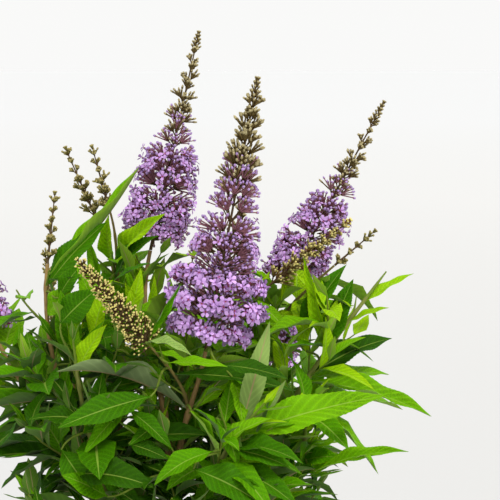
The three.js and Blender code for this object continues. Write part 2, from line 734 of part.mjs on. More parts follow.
// Adds a leaf to its mass's pieces, in its first take that neither leaves the crown nor touches.
function tryLeaf(takes, pieces, mass, isSet) {
  const leaf = takes.find((take) => {
    if (!isSet && !inCrown(take.tip)) return false;
    return isClear(leafSolid(take, CLEARANCE), leafSolid(take, CLEARANCE, 0.16), mass);
  });
  if (!leaf) return;
  const solid = leafSolid(leaf);
  pieces.push(solid);
  remember(solid, mass);
}

// A twig: three-sided, its root on the stem's own axis. `grown` and `from` are as for a leaf.
function twigSolid(axis, grown = 0, from = 0) {
  const radius = (share) => TWIG.footRadius * (1 - 0.5 * share) + 2 * grown;
  const part = new THREE.CatmullRomCurve3([from, 0.5, 0.75, 1].map((share) => axis.getPoint(share)));
  return limb(part, { sides: 3, steps: 3, radius, pointed: true });
}

function tryTwig(twig, pieces, mass) {
  if (!inCrown(twig.axis.getPoint(1))) return;
  const outer = twigSolid(twig.axis, CLEARANCE, 0.2);
  if (!isClear(twigSolid(twig.axis, CLEARANCE), outer, mass)) return;
  const solid = twigSolid(twig.axis);
  pieces.push(solid);
  remember(solid, mass);
  twig.leaves.forEach((leaf) => tryLeaf(leaf, pieces, mass, false));
}

// ---------------------------------------------------------------- the assembly

function meshOf(name, solid, origin, look) {
  const geometry = geometryOf(solid);
  const foot = vector(origin.toArray().map(onGrid));
  geometry.translate(-foot.x, -foot.y, -foot.z);
  geometry.computeVertexNormals();
  const mesh = new THREE.Mesh(geometry, new THREE.MeshStandardMaterial({ flatShading: true, ...look }));
  mesh.name = name;
  mesh.position.copy(foot);
  return mesh;
}

function buildShrub() {
  const shrub = new THREE.Group();
  const wood = new THREE.Group();
  const foliage = new THREE.Group();
  const flowers = new THREE.Group();
  shrub.add(wood, foliage, flowers);

  const trunk = trunkSolid();
  remember(trunk);
  wood.add(meshOf("trunk", trunk, new THREE.Vector3(), BARK));
  for (const [name, bough] of Object.entries(BOUGHS)) {
    const axis = boughAxis(bough);
    const solid = boughSolid(axis);
    remember(solid);
    wood.add(meshOf(`bough_${name}`, solid, axis.getPoint(0), CANE));
  }

  // Stems first, so that no leaf is placed where a stem or a spike will be.
  const names = Object.keys(MASSES);
  const grown = names.map((name, number) => grownMass(MASSES[name], number + 1));
  const pieces = grown.map(({ axes }, mass) =>
    axes.map((axis, stem) => {
      const size = stem === 0 ? STEM : SIDE_STEM;
      const radius = (share) => mix(size.footRadius, size.tipRadius, share);
      const solid = limb(axis, { sides: 4, steps: stem === 0 ? 6 : 4, radius });
      remember(solid, mass);
      return solid;
    }),
  );
  names.forEach((name, number) => {
    const mass = MASSES[name];
    [mass, ...(mass.sides ?? [])].forEach((part, stem) => {
      if (!part.spike) return;
      const stemAxis = grown[number].axes[stem];
      const spike = grownSpike(stemAxis.getPoint(1), stemAxis.getTangent(1), part);
      const label = stem === 0 ? name : `${name}_side_${stem}`;
      const look = part.spike === "flower" ? BLOSSOM : BUDS;
      flowers.add(meshOf(`${part.spike}_spike_${label}`, spikeSolid(spike), spike.axis.getPoint(0), look));
      remember(spikeSolid(spike, 0.8), `spike ${label}`);
    });
  });

  // The set leaves of every mass first, then each mass's own by the rule.
  names.forEach((name, number) => {
    const leaves = grown[number].leaves.slice(0, MASSES[name].set.length);
    leaves.forEach((leaf) => tryLeaf(leaf, pieces[number], number, true));
  });
  names.forEach((name, number) => {
    const { axes, leaves, twigs } = grown[number];
    leaves.slice(MASSES[name].set.length).forEach((leaf) => {
      tryLeaf(leaf, pieces[number], number, false);
    });
    twigs.forEach((twig) => tryTwig(twig, pieces[number], number));
    foliage.add(meshOf(`foliage_${name}`, joined(pieces[number]), axes[0].getPoint(0), LEAVES));
  });
  return shrub;
}

export default buildShrub();
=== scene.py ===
"""Butterfly bush: grows the bark, leaves, twigs and flower spikes over the shrub's plain solids."""

import json
import math

import bmesh
import bpy
from bpy.props import FloatProperty, FloatVectorProperty, PointerProperty
from mathutils import Matrix, Quaternion, Vector, noise
from mathutils.bvhtree import BVHTree
from mathutils.kdtree import KDTree

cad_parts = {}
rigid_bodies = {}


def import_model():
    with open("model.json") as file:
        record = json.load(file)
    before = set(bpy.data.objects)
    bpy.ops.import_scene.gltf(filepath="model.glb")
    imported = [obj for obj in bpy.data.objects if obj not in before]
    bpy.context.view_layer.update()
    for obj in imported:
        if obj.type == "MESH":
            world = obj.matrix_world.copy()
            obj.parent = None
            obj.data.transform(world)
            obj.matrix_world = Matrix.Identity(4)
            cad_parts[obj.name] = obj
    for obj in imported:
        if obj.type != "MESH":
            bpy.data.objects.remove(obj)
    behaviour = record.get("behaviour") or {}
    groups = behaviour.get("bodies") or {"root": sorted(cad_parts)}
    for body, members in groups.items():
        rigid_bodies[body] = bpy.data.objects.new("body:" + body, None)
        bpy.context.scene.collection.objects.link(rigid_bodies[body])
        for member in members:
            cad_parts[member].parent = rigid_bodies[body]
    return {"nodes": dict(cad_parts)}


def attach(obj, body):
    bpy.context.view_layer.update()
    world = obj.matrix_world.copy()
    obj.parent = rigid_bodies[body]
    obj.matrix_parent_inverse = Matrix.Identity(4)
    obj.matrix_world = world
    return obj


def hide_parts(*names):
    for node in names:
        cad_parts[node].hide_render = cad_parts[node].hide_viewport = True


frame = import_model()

bl_info = {
    "name": "Butterfly bush",
    "version": (1, 0, 0),
    "blender": (4, 5, 0),
    "location": "View3D > Sidebar > Butterfly bush",
    "description": "Grows bark, leaves and flower spikes over the shrub's plain solids",
    "category": "Object",
}

# ---------------------------------------------------------------- the shrub's own sizes
# The rule is worked in millimetres, as the solids' own source does it, and its meshes are in metres.

MM = 0.001
UP = Vector((0, 0, 1))

TRUNK = {
    "height": 38, "foot": 10.5, "head": 13, "flare": 6.5, "waist": 1.6, "lean": (-2, -2), "collar": 0.5,
    "roots": 5, "root_depth": 0.28,
}  # fmt: skip
BOUGH = {"seat": 9.6, "foot": 3.1, "tip": 2.7, "swelling": 1.3}
STEM = {"foot": 2.25, "tip": 1.35}
SIDE_STEM = {"foot": 1.45, "tip": 0.95}
TWIG = {"foot": 0.95, "length": 46, "angle": 42, "share": 0.6, "joints": (0.42, 0.72, 0.93)}
LEAF = {"length": 88, "width": 25, "angle": 58, "takes": 3}
# How far a leaf's and a twig's heading, angle and roll vary, and their least sizes with what is added.
LEAF_VARIES = {
    "heading": 44, "angle": 36, "roll": 1.1, "length": (0.8, 0.32), "droop": (0.04, 0.3), "width": (0.85, 0.3)
}  # fmt: skip
TWIG_VARIES = {"heading": 30, "angle": 16, "length": (0.65, 0.6)}
HALVES = (0, 180)  # the two leaves of a pair stand across from each other
NODE_SPACING = 25
SEAT_GAP = 0.3
COLLAR = {"lift": 0.06, "clear": 0.15}  # how far above the collar, and off it, the low stems are seated
STEMS_APART = 0.45  # how far two stems on one bough stand clear of touching
# The turns and lifts, in degrees, that are tried for a leaf of a given place.
NUDGES = (
    (0, 0), (0, 7), (0, -7), (8, 0), (-8, 0), (8, 9), (-8, 9), (8, -9), (-8, -9), (0, 16), (0, -16)
)  # fmt: skip
# The space that leaves may fill: a ball, flattened to its half height and cut off at the skirt.
INNER = {"centre": (4, 8, 205), "radius": 172, "half_height": 172, "skirt": 34}

# The greens of the leaves, from the oldest and most shaded to the youngest and most lit, and the two of
# blades turned to their underside; deep to young is partly the leaves' age, partly painted light and shade.
GREENS = ("deep", "full", "mid", "bright", "young", "under", "pale")

# Boughs: the heading of the foot on the trunk's head, and the tip.
BOUGHS = {
    "front": (-96, (-1, -36, 215)),
    "front_right": (-45, (14, -46, 150)),
    "right": (4, (40, -4, 152)),
    "rear_right": (54, (32, 40, 160)),
    "rear": (103, (-6, 46, 160)),
    "rear_left": (152, (-36, 26, 165)),
    "front_left": (207, (-38, -26, 152)),
}

# Masses of foliage: what each stands on, the top of its stem, the tip of its spike or shoot, the look
# of a spike where it isn't that of its kind, the turn of its first leaves, how young and how lit its green
# is (partly age, partly painted light and shade), its side stems, and the leaves that stand where they are
# set: the stem, the share along it, the reach, the way the blade faces, its width, and its place in GREENS
# (its own green with painted light and shade in it).
MASSES = {
    "front": {
        "bough": "front", "top": (20, -40, 296), "tip": (54, -25, 474), "spike": "flower", "wide": 36,
        "look": "full", "turn": 20, "green": 0.62,
        "sides": [
            {
                "at": 0.5, "top": (-15, -55, 301), "tip": (-61, -75, 360), "spike": "bud", "wide": 14,
                "look": "balls",
            }
        ],
        "set": [
            (0, 0.52, (-84, -30, 30), (0.06, 0.6, 0.79), 21, 5),
            (0, 0.53, (32, -12, 34), (0.2, 0.9, -0.4), 10, 2),
            (1, 0.55, (78, -20, -8), (0.1, -0.42, 0.9), 19, 0),
            (1, 0.56, (-24, 16, 26), (0.4, -0.3, 0.85), 10, 3),
            (1, 0.93, (25, -10, -9), (0.2, -0.5, 0.8), 7, 3),
        ],
    },
    "middle": {
        "bough": "front", "top": (-19, 30, 356), "tip": (14, 50, 505), "spike": "flower", "wide": 25,
        "turn": 60, "green": 0.7,
        "set": [
            (0, 0.67, (-14, -11, 30), (-0.3, -0.9, 0.2), 11, 4),
            (0, 0.71, (-14, -5, 38), (-0.5, -0.8, 0.2), 7, 3),
            (0, 0.69, (6, -9, 32), (0.3, -0.9, 0.2), 8, 4),
        ],
    },
    "inner_right": {
        "bough": "front_right", "top": (44, -81, 252), "tip": (58, -90, 270), "turn": -20, "green": 0.45,
        "set": [
            (0, 0.98, (19, 5, 70), (0.1, 0.97, -0.1), 15, 6),
            (0, 0.97, (30, 6, 33), (0.3, 0.9, -0.2), 11, 6),
            (0, 0.94, (96, 10, 25), (-0.1, -0.75, 0.65), 25, 3),
            (0, 0.85, (48, -26, -5), (0, -0.5, 0.86), 19, 1),
            (0, 0.72, (-32, -30, -10), (-0.2, -0.6, 0.77), 25, 2),
            (0, 0.71, (52, -34, -20), (0.1, -0.6, 0.8), 24, 1),
        ],
    },
    "low_front": {
        "bough": "front_right", "top": (4, -88, 196), "tip": (0, -104, 212), "turn": 15, "green": 0.2,
    },
    "low_right": {
        "bough": "right", "top": (86, -2, 234), "tip": (86, -4, 256), "turn": 10, "green": 0.5,
        "set": [
            (0, 0.62, (66, 14, 17), (-0.2, -0.5, 0.84), 15, 3),
            (0, 0.8, (26, -22, 8), (0.2, -0.75, 0.6), 19, 2),
        ],
    },
    "right": {
        "bough": "right", "top": (127, -6, 328), "tip": (140, -4, 345), "turn": 35, "green": 0.68,
        "set": [
            (0, 0.66, (84, -10, -22), (0.1, -0.5, 0.85), 18, 3),
            (0, 0.68, (58, 30, 22), (-0.2, -0.6, 0.78), 24, 0),
            (0, 0.67, (58, 42, -3), (0, -0.5, 0.86), 16, 3),
            (0, 0.79, (18, 10, 47), (-0.5, -0.85, 0.2), 18, 1),
            (0, 0.8, (-28, -32, 5), (0, -0.1, 0.99), 12, 2),
            (0, 0.78, (-15, -14, 66), (-0.5, -0.85, 0.1), 10, 4),
            (0, 0.97, (36, 12, 20), (-0.3, -0.5, 0.8), 9, 4),
            (0, 0.9, (27, -14, 12), (-0.3, -0.3, 0.9), 10, 4),
        ],
    },
    "rear_right": {
        "bough": "rear_right", "top": (72, 50, 327), "tip": (142, 60, 457), "spike": "flower", "wide": 23,
        "turn": 75, "green": 0.6,
        "sides": [
            {
                "at": 0.66, "top": (61, 4, 334), "tip": (116, -8, 380), "spike": "bud", "wide": 11,
                "look": "pale",
            },
            {"at": 0.7, "top": (106, 16, 347), "tip": (134, 16, 371), "spike": "bud"},
        ],
    },
    "back_right": {
        "bough": "rear_right", "top": (67, 112, 262), "tip": (92, 142, 330), "spike": "flower",
        "turn": 30, "green": 0.55,
    },
    "back": {
        "bough": "rear", "top": (28, 92, 294), "tip": (49, 128, 404), "spike": "flower", "turn": 80,
        "green": 0.6,
    },
    "back_left": {
        "bough": "rear", "top": (2, 108, 284), "tip": (8, 134, 352), "spike": "flower", "turn": 45,
        "green": 0.5,
    },
    "upper_left": {
        "bough": "rear_left", "top": (-56, 40, 376), "tip": (-78, 45, 426), "spike": "bud", "wide": 9,
        "turn": 15, "green": 0.66,
        "sides": [{"at": 0.75, "top": (-46, 28, 382), "tip": (-58, 22, 428), "spike": "bud", "wide": 9}],
        "set": [
            (0, 0.87, (0, -24, 34), (-0.3, -0.9, 0.1), 13, 4),
            (0, 0.85, (38, -41, 40), (-0.6, -0.7, 0.35), 17, 4),
            (0, 0.81, (31, -34, 33), (-0.5, -0.7, 0.5), 16, 1),
            (0, 0.77, (35, -42, 26), (0.3, 0.5, 0.8), 14, 5),
        ],
    },
    "far_left": {
        "bough": "rear_left", "top": (-124, 20, 300), "tip": (-150, 30, 378), "spike": "flower",
        "turn": 60, "green": 0.5,
    },
    "back_far_left": {
        "bough": "rear_left", "top": (-84, 94, 280), "tip": (-99, 116, 342), "spike": "bud", "turn": 0,
        "green": 0.5,
    },
    "left": {
        "bough": "front_left", "top": (-86, -5, 350), "tip": (-81, 0, 398), "spike": "bud", "turn": 30,
        "green": 0.45,
        "set": [
            (0, 0.93, (41, 3, 44), (-0.5, -0.65, 0.57), 24, 1),
            (0, 0.96, (70, 8, 66), (-0.66, -0.2, 0.72), 11, 3),
            (0, 0.84, (20, -14, 22), (-0.4, -0.8, 0.45), 18, 3),
            (0, 0.76, (27, -12, 32), (-0.4, 0.6, 0.7), 24, 0),
            (0, 0.72, (58, 10, 12), (-0.1, -0.6, 0.8), 22, 1),
        ],
    },
    "front_left": {
        "bough": "front_left", "top": (-64, -46, 287), "tip": (-66, -48, 306), "turn": 10, "green": 0.3,
        "set": [
            (0, 0.97, (20, -8, 33), (-0.5, -0.8, 0.35), 16, 4),
            (0, 0.6, (78, -10, 10), (0, -0.55, 0.83), 25, 0),
            (0, 0.48, (34, -24, -26), (-0.4, -0.7, 0.6), 15, 1),
        ],
    },
    "skirt_front": {"heading": -105, "top": (-24, -92, 150), "tip": (-28, -110, 166), "turn": 80},
    "skirt_front_right": {"heading": -60, "top": (56, -76, 196), "tip": (62, -88, 214), "turn": 10},
    "skirt_right": {"heading": -15, "top": (102, -30, 146), "tip": (120, -36, 160), "turn": 60},
    "skirt_back_right": {"heading": 35, "top": (84, 62, 200), "tip": (98, 72, 218), "turn": 0},
    "skirt_back": {"heading": 85, "top": (6, 106, 140), "tip": (8, 124, 154), "turn": 20},
    "skirt_back_left": {"heading": 130, "top": (-66, 84, 198), "tip": (-76, 96, 216), "turn": 50},
    "skirt_left": {"heading": 180, "top": (-106, 8, 146), "tip": (-122, 10, 160), "turn": 75},
    "skirt_front_left": {"heading": 225, "top": (-84, -62, 190), "tip": (-94, -70, 208), "turn": 5},
}

# Further leaves where the shrub is fullest: each its base, its tip, the way it faces, its width, its green
# (its own green with painted light and shade in it).
MORE_LEAVES = (
    ((-63.6, -78, 221.6), (-9.7, -96, 216.4), (0.05, -0.7, 0.7), 27, 0),
    ((25.8, -92, 239.4), (-11.2, -104, 219.9), (-0.25, -0.65, 0.72), 19, 2),
    ((13.5, -98, 229.3), (56.4, -104, 208.1), (0.1, -0.7, 0.7), 27, 1),
    ((-14.6, -70, 271.0), (-72.4, -92, 254.4), (0.1, -0.75, 0.65), 21, 1),
    ((-30.1, -66, 264.0), (-56.8, -84, 235.4), (-0.3, -0.8, 0.5), 13, 2),
    ((-29.5, -66, 262.1), (-0.3, -80, 238.5), (0.3, -0.8, 0.5), 13, 1),
    ((-28.5, -72, 240.8), (-2.6, -84, 232.9), (0.1, -0.7, 0.7), 13, 0),
    ((37.5, -60, 282.2), (44.0, -84, 254.3), (0.5, -0.85, 0.1), 15, 3),
    ((-3.3, -66, 292.1), (35.1, -84, 292.1), (0.0, -0.6, 0.8), 9, 3),
    ((-17.3, -66, 305.4), (12.5, -84, 299.0), (0.1, -0.6, 0.8), 9, 6),
    ((27.4, -70, 257.0), (41.5, -88, 228.6), (0.3, -0.8, 0.5), 17, 2),
    ((-71.9, -70, 236.6), (-50.3, -86, 209.4), (-0.2, -0.8, 0.5), 20, 1),
    ((-41.9, -80, 208.1), (-70.1, -90, 224.0), (0.0, -0.7, 0.7), 18, 2),
    ((37.7, -84, 239.2), (74.0, -96, 230.1), (0.1, -0.65, 0.75), 18, 1),
    ((-4.7, -62, 255.7), (-28.4, -74, 239.9), (-0.2, -0.8, 0.5), 12, 1),
    ((14.4, -60, 255.3), (33.8, -72, 240.8), (0.2, -0.8, 0.5), 12, 0),
    ((-15.0, -62, 308.1), (5.4, -80, 344.5), (0.6, -0.8, 0.1), 6, 2),
    ((-50.3, -14, 307.3), (-65.7, -20, 352.8), (0.3, -0.9, 0.2), 17, 3),
    ((-55.2, -20, 298.1), (-42.4, -14, 340.4), (-0.3, -0.9, 0.2), 15, 4),
    ((-68.0, -24, 287.5), (-75.4, -30, 335.4), (0.2, -0.9, 0.3), 18, 2),
    ((-34.6, 0, 305.5), (-24.3, 8, 346.2), (0.2, -0.95, 0.1), 13, 4),
    ((-37.8, -24, 298.6), (-15.2, -30, 328.9), (-0.4, -0.8, 0.4), 12, 3),
    ((-41.7, -24, 340.1), (-15.5, -36, 353.7), (0.1, -0.4, 0.9), 8, 1),
    ((-74.5, -40, 314.4), (-50.0, -46, 337.8), (0.3, -0.7, 0.6), 23, 1),
    ((-22.5, -40, 291.0), (-30.6, -34, 329.3), (0.3, -0.9, 0.2), 12, 2),
    ((31.6, -80, 292.6), (73.2, -92, 285.5), (0.1, -0.5, 0.85), 15, 0),
    ((82.4, 0, 295.5), (113.9, 4, 349.0), (-0.4, -0.85, 0.25), 19, 1),
    ((92.5, -20, 213.1), (154.5, -24, 226.9), (0.1, -0.7, 0.7), 10, 3),
    ((-52.0, 10, 334.5), (-60.0, 10, 366.2), (-0.2, -0.9, 0.3), 9, 3),
    ((-77.6, -20, 329.1), (-60.4, -18, 352.8), (-0.1, -0.9, 0.4), 14, 1),
    ((94.5, 0, 298.8), (96.9, -6, 339.6), (0.4, -0.85, 0.2), 12, 4),
)

# Spikes: how wide one is for its length, the share up to which its blossom is out, how far apart the
# whorls of that part are, and how far apart the whorls of buds are at the foot and at the tip.
SPIKES = {
    "flower": {"reach": 0.18, "open": 0.43, "cyme": 13, "whorl": 15, "last": 7},
    "bud": {"reach": 0.15, "open": 0, "cyme": 0, "whorl": 9, "last": 6},
}

# Where a spike's first and last whorls start, where the last may end, and how far into its step a whorl
# of florets and one of buds is widest.
WHORLS = {"first": 0.04, "last": 0.93, "end": 0.965, "blown": 0.4, "shut": 0.62}

# ---------------------------------------------------------------- the rule of growth


def numbers_from(seed):
    """A repeatable run of numbers from 0 to 1."""
    state, size = seed * 7919 + 12345, 2**32

    def following():
        nonlocal state
        state = (state * 1664525 + 1013904223) % size
        return state / size

    for _ in range(4):
        following()
    return following


def mix(low, high, share):
    return low * (1 - share) + high * share


def square_to(axis, way):
    return (way - axis * axis.dot(way)).normalized()


def heading_round(way, heading):
    """The unit vector square to a limb's way that points to a heading in degrees."""
    right = square_to(way, Vector((1, 0, 0)))
    turn = math.radians(heading)
    return right * math.cos(turn) + way.cross(right) * math.sin(turn)


class Sweep:
    """A curve that leaves its start along one way and reaches its end along another."""

    def __init__(self, start, start_way, end, end_way, firm=0.38):
        pull = (end - start).length * firm
        self.knots = (start, start + start_way * pull, end - end_way * pull, end)

    def point(self, share):
        a, b, c, d = self.knots
        left = 1 - share
        return a * left**3 + b * (3 * left * left * share) + c * (3 * left * share * share) + d * share**3

    def way(self, share):
        a, b, c, d = self.knots
        left = 1 - share
        return ((b - a) * left**2 + (c - b) * (2 * left * share) + (d - c) * share**2).normalized()

    def length(self):
        points = [self.point(i / 200) for i in range(201)]
        return sum((q - p).length for p, q in zip(points, points[1:]))


def trunk_head():
    return Vector((*TRUNK["lean"], TRUNK["height"]))


def trunk_radius(share, turn):
    root = 1 - TRUNK["root_depth"] + TRUNK["root_depth"] * math.cos(TRUNK["roots"] * turn)
    spread = TRUNK["flare"] * (1 - share) ** 3 * root
    swell = (TRUNK["head"] - TRUNK["foot"]) * share**2
    return TRUNK["foot"] + spread + swell - TRUNK["waist"] * math.sin(math.pi * share)


def bough_axis(name):
    heading, tip = BOUGHS[name]
    seat = trunk_head() + heading_round(UP, heading) * BOUGH["seat"] + UP * SEAT_GAP
    end = Vector(tip)
    leaning = (end - seat) * 0.6
    leaning.z = end.z - seat.z
    return Sweep(seat, UP, end, leaning.normalized())


def stem_seat(mass):
    """Where a mass's main stem starts, and its way there."""
    if "bough" not in mass:
        out = heading_round(UP, mass["heading"])
        way = (out * 0.9 + UP * 0.45).normalized()
        bark = trunk_radius(TRUNK["collar"] + COLLAR["lift"], math.radians(mass["heading"]))
        surface, tilt = bark + COLLAR["clear"], STEM["foot"] * way.z
        return trunk_head() * TRUNK["collar"] + out * (surface + tilt + SEAT_GAP), way
    axis = bough_axis(mass["bough"])
    way = axis.way(1)
    sharing = [other for other in MASSES.values() if other.get("bough") == mass["bough"]]
    place = sharing.index(mass)
    apart = (STEM["foot"] + STEMS_APART) / math.sin(math.pi / len(sharing)) if len(sharing) > 1 else 0
    first = Vector(sharing[0]["top"]) - axis.point(1)
    heading = math.degrees(math.atan2(first.y, first.x))
    side = heading_round(way, heading + 360 / len(sharing) * place)
    return axis.point(1) + side * apart + way * SEAT_GAP, way


def stem_axes(mass):
    start, way = stem_seat(mass)
    top = Vector(mass["top"])
    main = Sweep(start, way, top, (Vector(mass["tip"]) - top).normalized())
    axes = [main]
    for side in mass.get("sides", []):
        side_top = Vector(side["top"])
        end_way = (Vector(side["tip"]) - side_top).normalized()
        fork = main.point(side["at"])
        fork_way = ((side_top - fork).normalized() + main.way(side["at"])).normalized()
        axes.append(Sweep(fork, fork_way, side_top, end_way))
    return axes


def leant(way, side, angle):
    """A unit way that leans from a limb's own way to its side, by an angle in degrees."""
    lean = math.radians(angle)
    return way * math.cos(lean) + side * math.sin(lean)


def some(draw, sizes):
    """The least size, and a drawn share of what may be added to it."""
    return sizes[0] + sizes[1] * draw()


def varied(draw, middle, spread):
    return middle + spread * (draw() - 0.5)


def leaf_takes(axis, share, heading, length, draw):
    """The ways of standing that the rule tries for one leaf."""
    takes = []
    for _ in range(LEAF["takes"]):
        base, stem_way = axis.point(share), axis.way(share)
        side = heading_round(stem_way, heading + LEAF_VARIES["heading"] * (draw() - 0.5))
        ahead = leant(stem_way, side, LEAF["angle"] + (draw() - 0.5) * LEAF_VARIES["angle"])
        size = length * some(draw, LEAF_VARIES["length"])
        droop = some(draw, LEAF_VARIES["droop"])
        tip = base + ahead * size - UP * (droop * size)
        face = stem_way * 0.5 + UP + ahead.cross(UP) * ((draw() - 0.5) * LEAF_VARIES["roll"])
        width = (size / LEAF["length"]) ** 0.8 * LEAF["width"] * some(draw, LEAF_VARIES["width"])
        takes.append({"base": base, "tip": tip, "face": face, "width": width, "bend": droop})
    return takes


def set_takes(axes, stem, at, reach, face, width):
    """The ways of standing that the rule tries for one leaf of a given place."""
    base = axes[stem].point(at)
    reach, face = Vector(reach), Vector(face)
    across = face.cross(reach).normalized()
    takes = []
    for turned, lifted in NUDGES:
        way = Quaternion(across, math.radians(-lifted)) @ reach
        way = Quaternion(face.normalized(), math.radians(turned)) @ way
        takes.append({"base": base, "tip": base + way, "face": face, "width": width, "bend": 0.1})
    return takes


def side_shoot(base, ahead, length, lift):
    """The curve of a twig or a shoot, which rises a little towards its end."""
    end = base + ahead * length + UP * (0.12 * length)
    return Sweep(base, ahead, end, (ahead + UP * lift).normalized())


def grown_twig(axis, share, heading, leaf_length, draw):
    base, stem_way = axis.point(share), axis.way(share)
    side = heading_round(stem_way, heading + (draw() - 0.5) * TWIG_VARIES["heading"])
    ahead = leant(stem_way, side, TWIG["angle"] + (draw() - 0.5) * TWIG_VARIES["angle"])
    twig_axis = side_shoot(base, ahead, TWIG["length"] * some(draw, TWIG_VARIES["length"]), 0.5)
    turn = 360 * draw()
    leaves = []
    for pair, place in enumerate(TWIG["joints"]):
        for half in HALVES:
            size = leaf_length * (0.72 - 0.12 * pair)
            leaves.append(leaf_takes(twig_axis, place, turn + 90 * pair + half, size, draw))
    return {"axis": twig_axis, "leaves": leaves, "turn": turn}


def in_reach(point):
    """Whether a point is in the space that the shrub's leaves may fill."""
    offset = point - Vector(INNER["centre"])
    wide = math.hypot(offset.x, offset.y) / INNER["radius"]
    return math.hypot(wide, offset.z / INNER["half_height"]) < 1 and point.z > INNER["skirt"]


def spike_outline(share, open_share):
    """How far a spike reaches at a share of its axis, as a share of its widest."""
    if open_share == 0:
        return mix(0.8, 0.2, share)
    if share > open_share:
        return mix(0.68, 0.12, (share - open_share) / (1 - open_share))
    return mix(0.78, 0.68, share / open_share) + 0.24 * math.sin(math.pi * share / open_share)


def grown_spike(foot, foot_way, part):
    """A spike's curve and its whorls: where each leaves the axis, where it is widest, how wide."""
    rule = SPIKES[part["spike"]]
    tip = Vector(part["tip"])
    axis = Sweep(foot + foot_way * SEAT_GAP, foot_way, tip, (tip - foot).normalized())
    length = axis.length()
    widest = part.get("wide", rule["reach"] * length)
    whorls = []
    height = WHORLS["first"] * length
    while height < WHORLS["last"] * length:
        share = height / length
        blown = share < rule["open"]
        step = rule["cyme"] if blown else mix(rule["whorl"], rule["last"], share)
        crest = (height + WHORLS["blown" if blown else "shut"] * step) / length
        if crest > WHORLS["end"]:
            break
        radius = widest * spike_outline(crest, rule["open"])
        whorls.append({"foot": share, "crest": crest, "radius": radius, "step": step, "blown": blown})
        height += step
    return {"axis": axis, "length": length, "whorls": whorls, "look": part.get("look", part["spike"])}


# ---------------------------------------------------------------- what the rule grows

# How thick the feet and tips of the main and the side stems are, against those of the solids.
THICKNESS = {"main": (1.05, 0.95), "side": (0.92, 0.8)}
# A leaf's length at the tip of a main stem, and on a side stem; how near the tip twigs grow; how near a
# set leaf the rule's own leaves are left out, in steps; and how much younger leaves are towards the tip
# and on twigs.
LEAVES = {"tip": 0.62, "side": 0.5, "twigs": 0.85, "free": 0.55, "younger": 0.12, "twig_younger": 0.08}
# Where a leaf of the rule doesn't stand: a smaller one's length, its lean, and how often it is tried.
LEFT_OUT = {"size": (0.5, 0.2), "stands": (55, 4)}
SMALL_VARIES = {"heading": 30, "lean": 20, "bend": (0.05, 0.25), "width": (0.22, 0.11)}
SHOOT = {"lean": (34, 16), "length": (12, 20), "radii": (0.75, 0.4)}
# How near a mass, and how far off a spike, small growth ends.
NEAR_MASS, OFF_SPIKE, SHOOT_OFF_SPIKE = 16, 3, 4
# How much lighter a leaf's green is for each millimetre up and to the right of a place, and outside the
# mean share of the crown's radius (partly the leaves' youth, partly painted light on the lit upper right and
# outside and painted shade low down and inside); how much it varies; and how many greens a score of 1 is.
GREEN = {"up": 0.0019, "right": 0.0011, "from": (20, 270), "outside": 0.3, "mean": 0.75}
GREEN_VARIES, GREEN_STEPS = 0.4, 4.6
# Small leaves in pairs: where the pairs stand and how long they are, how their length varies, how far
# out the first pair leans and how much less each further one does, and how much younger they are.
TWIG_PAIRS = {"at": ((0.3, 30), (0.6, 34), (1.0, 22)), "size": (0.8, 0.5), "lean": (52, 12), "younger": 0.14}
SHOOT_PAIRS = {"at": ((0.5, 34), (1.0, 24)), "size": (0.75, 0.6), "lean": (52, 20), "younger": 0.12}
END_PAIRS = {
    "at": ((0.1, 34), (0.45, 28), (0.75, 22), (0.95, 15), (1.0, 9)),
    "size": (0.85, 0.3), "lean": (48, 9), "younger": 0.35, "tried": 4,
}  # fmt: skip
# Where along the stems of the widest spike no leaf stands before them, and how near one may come there.
FREE_STEM = {"shares": (0.0, 0.15, 0.3, 0.45, 0.6, 0.75, 0.9), "high": 12, "wide": 9}


def surface_of(prefixes):
    """A search tree of the surfaces of the CAD nodes whose names start so, in millimetres."""
    spots, faces = [], []
    for node, ob in frame["nodes"].items():
        if node.startswith(prefixes):
            faces += [[i + len(spots) for i in face.vertices] for face in ob.data.polygons]
            spots += [corner.co / MM for corner in ob.data.vertices]
    return BVHTree.FromPolygons(spots, faces)


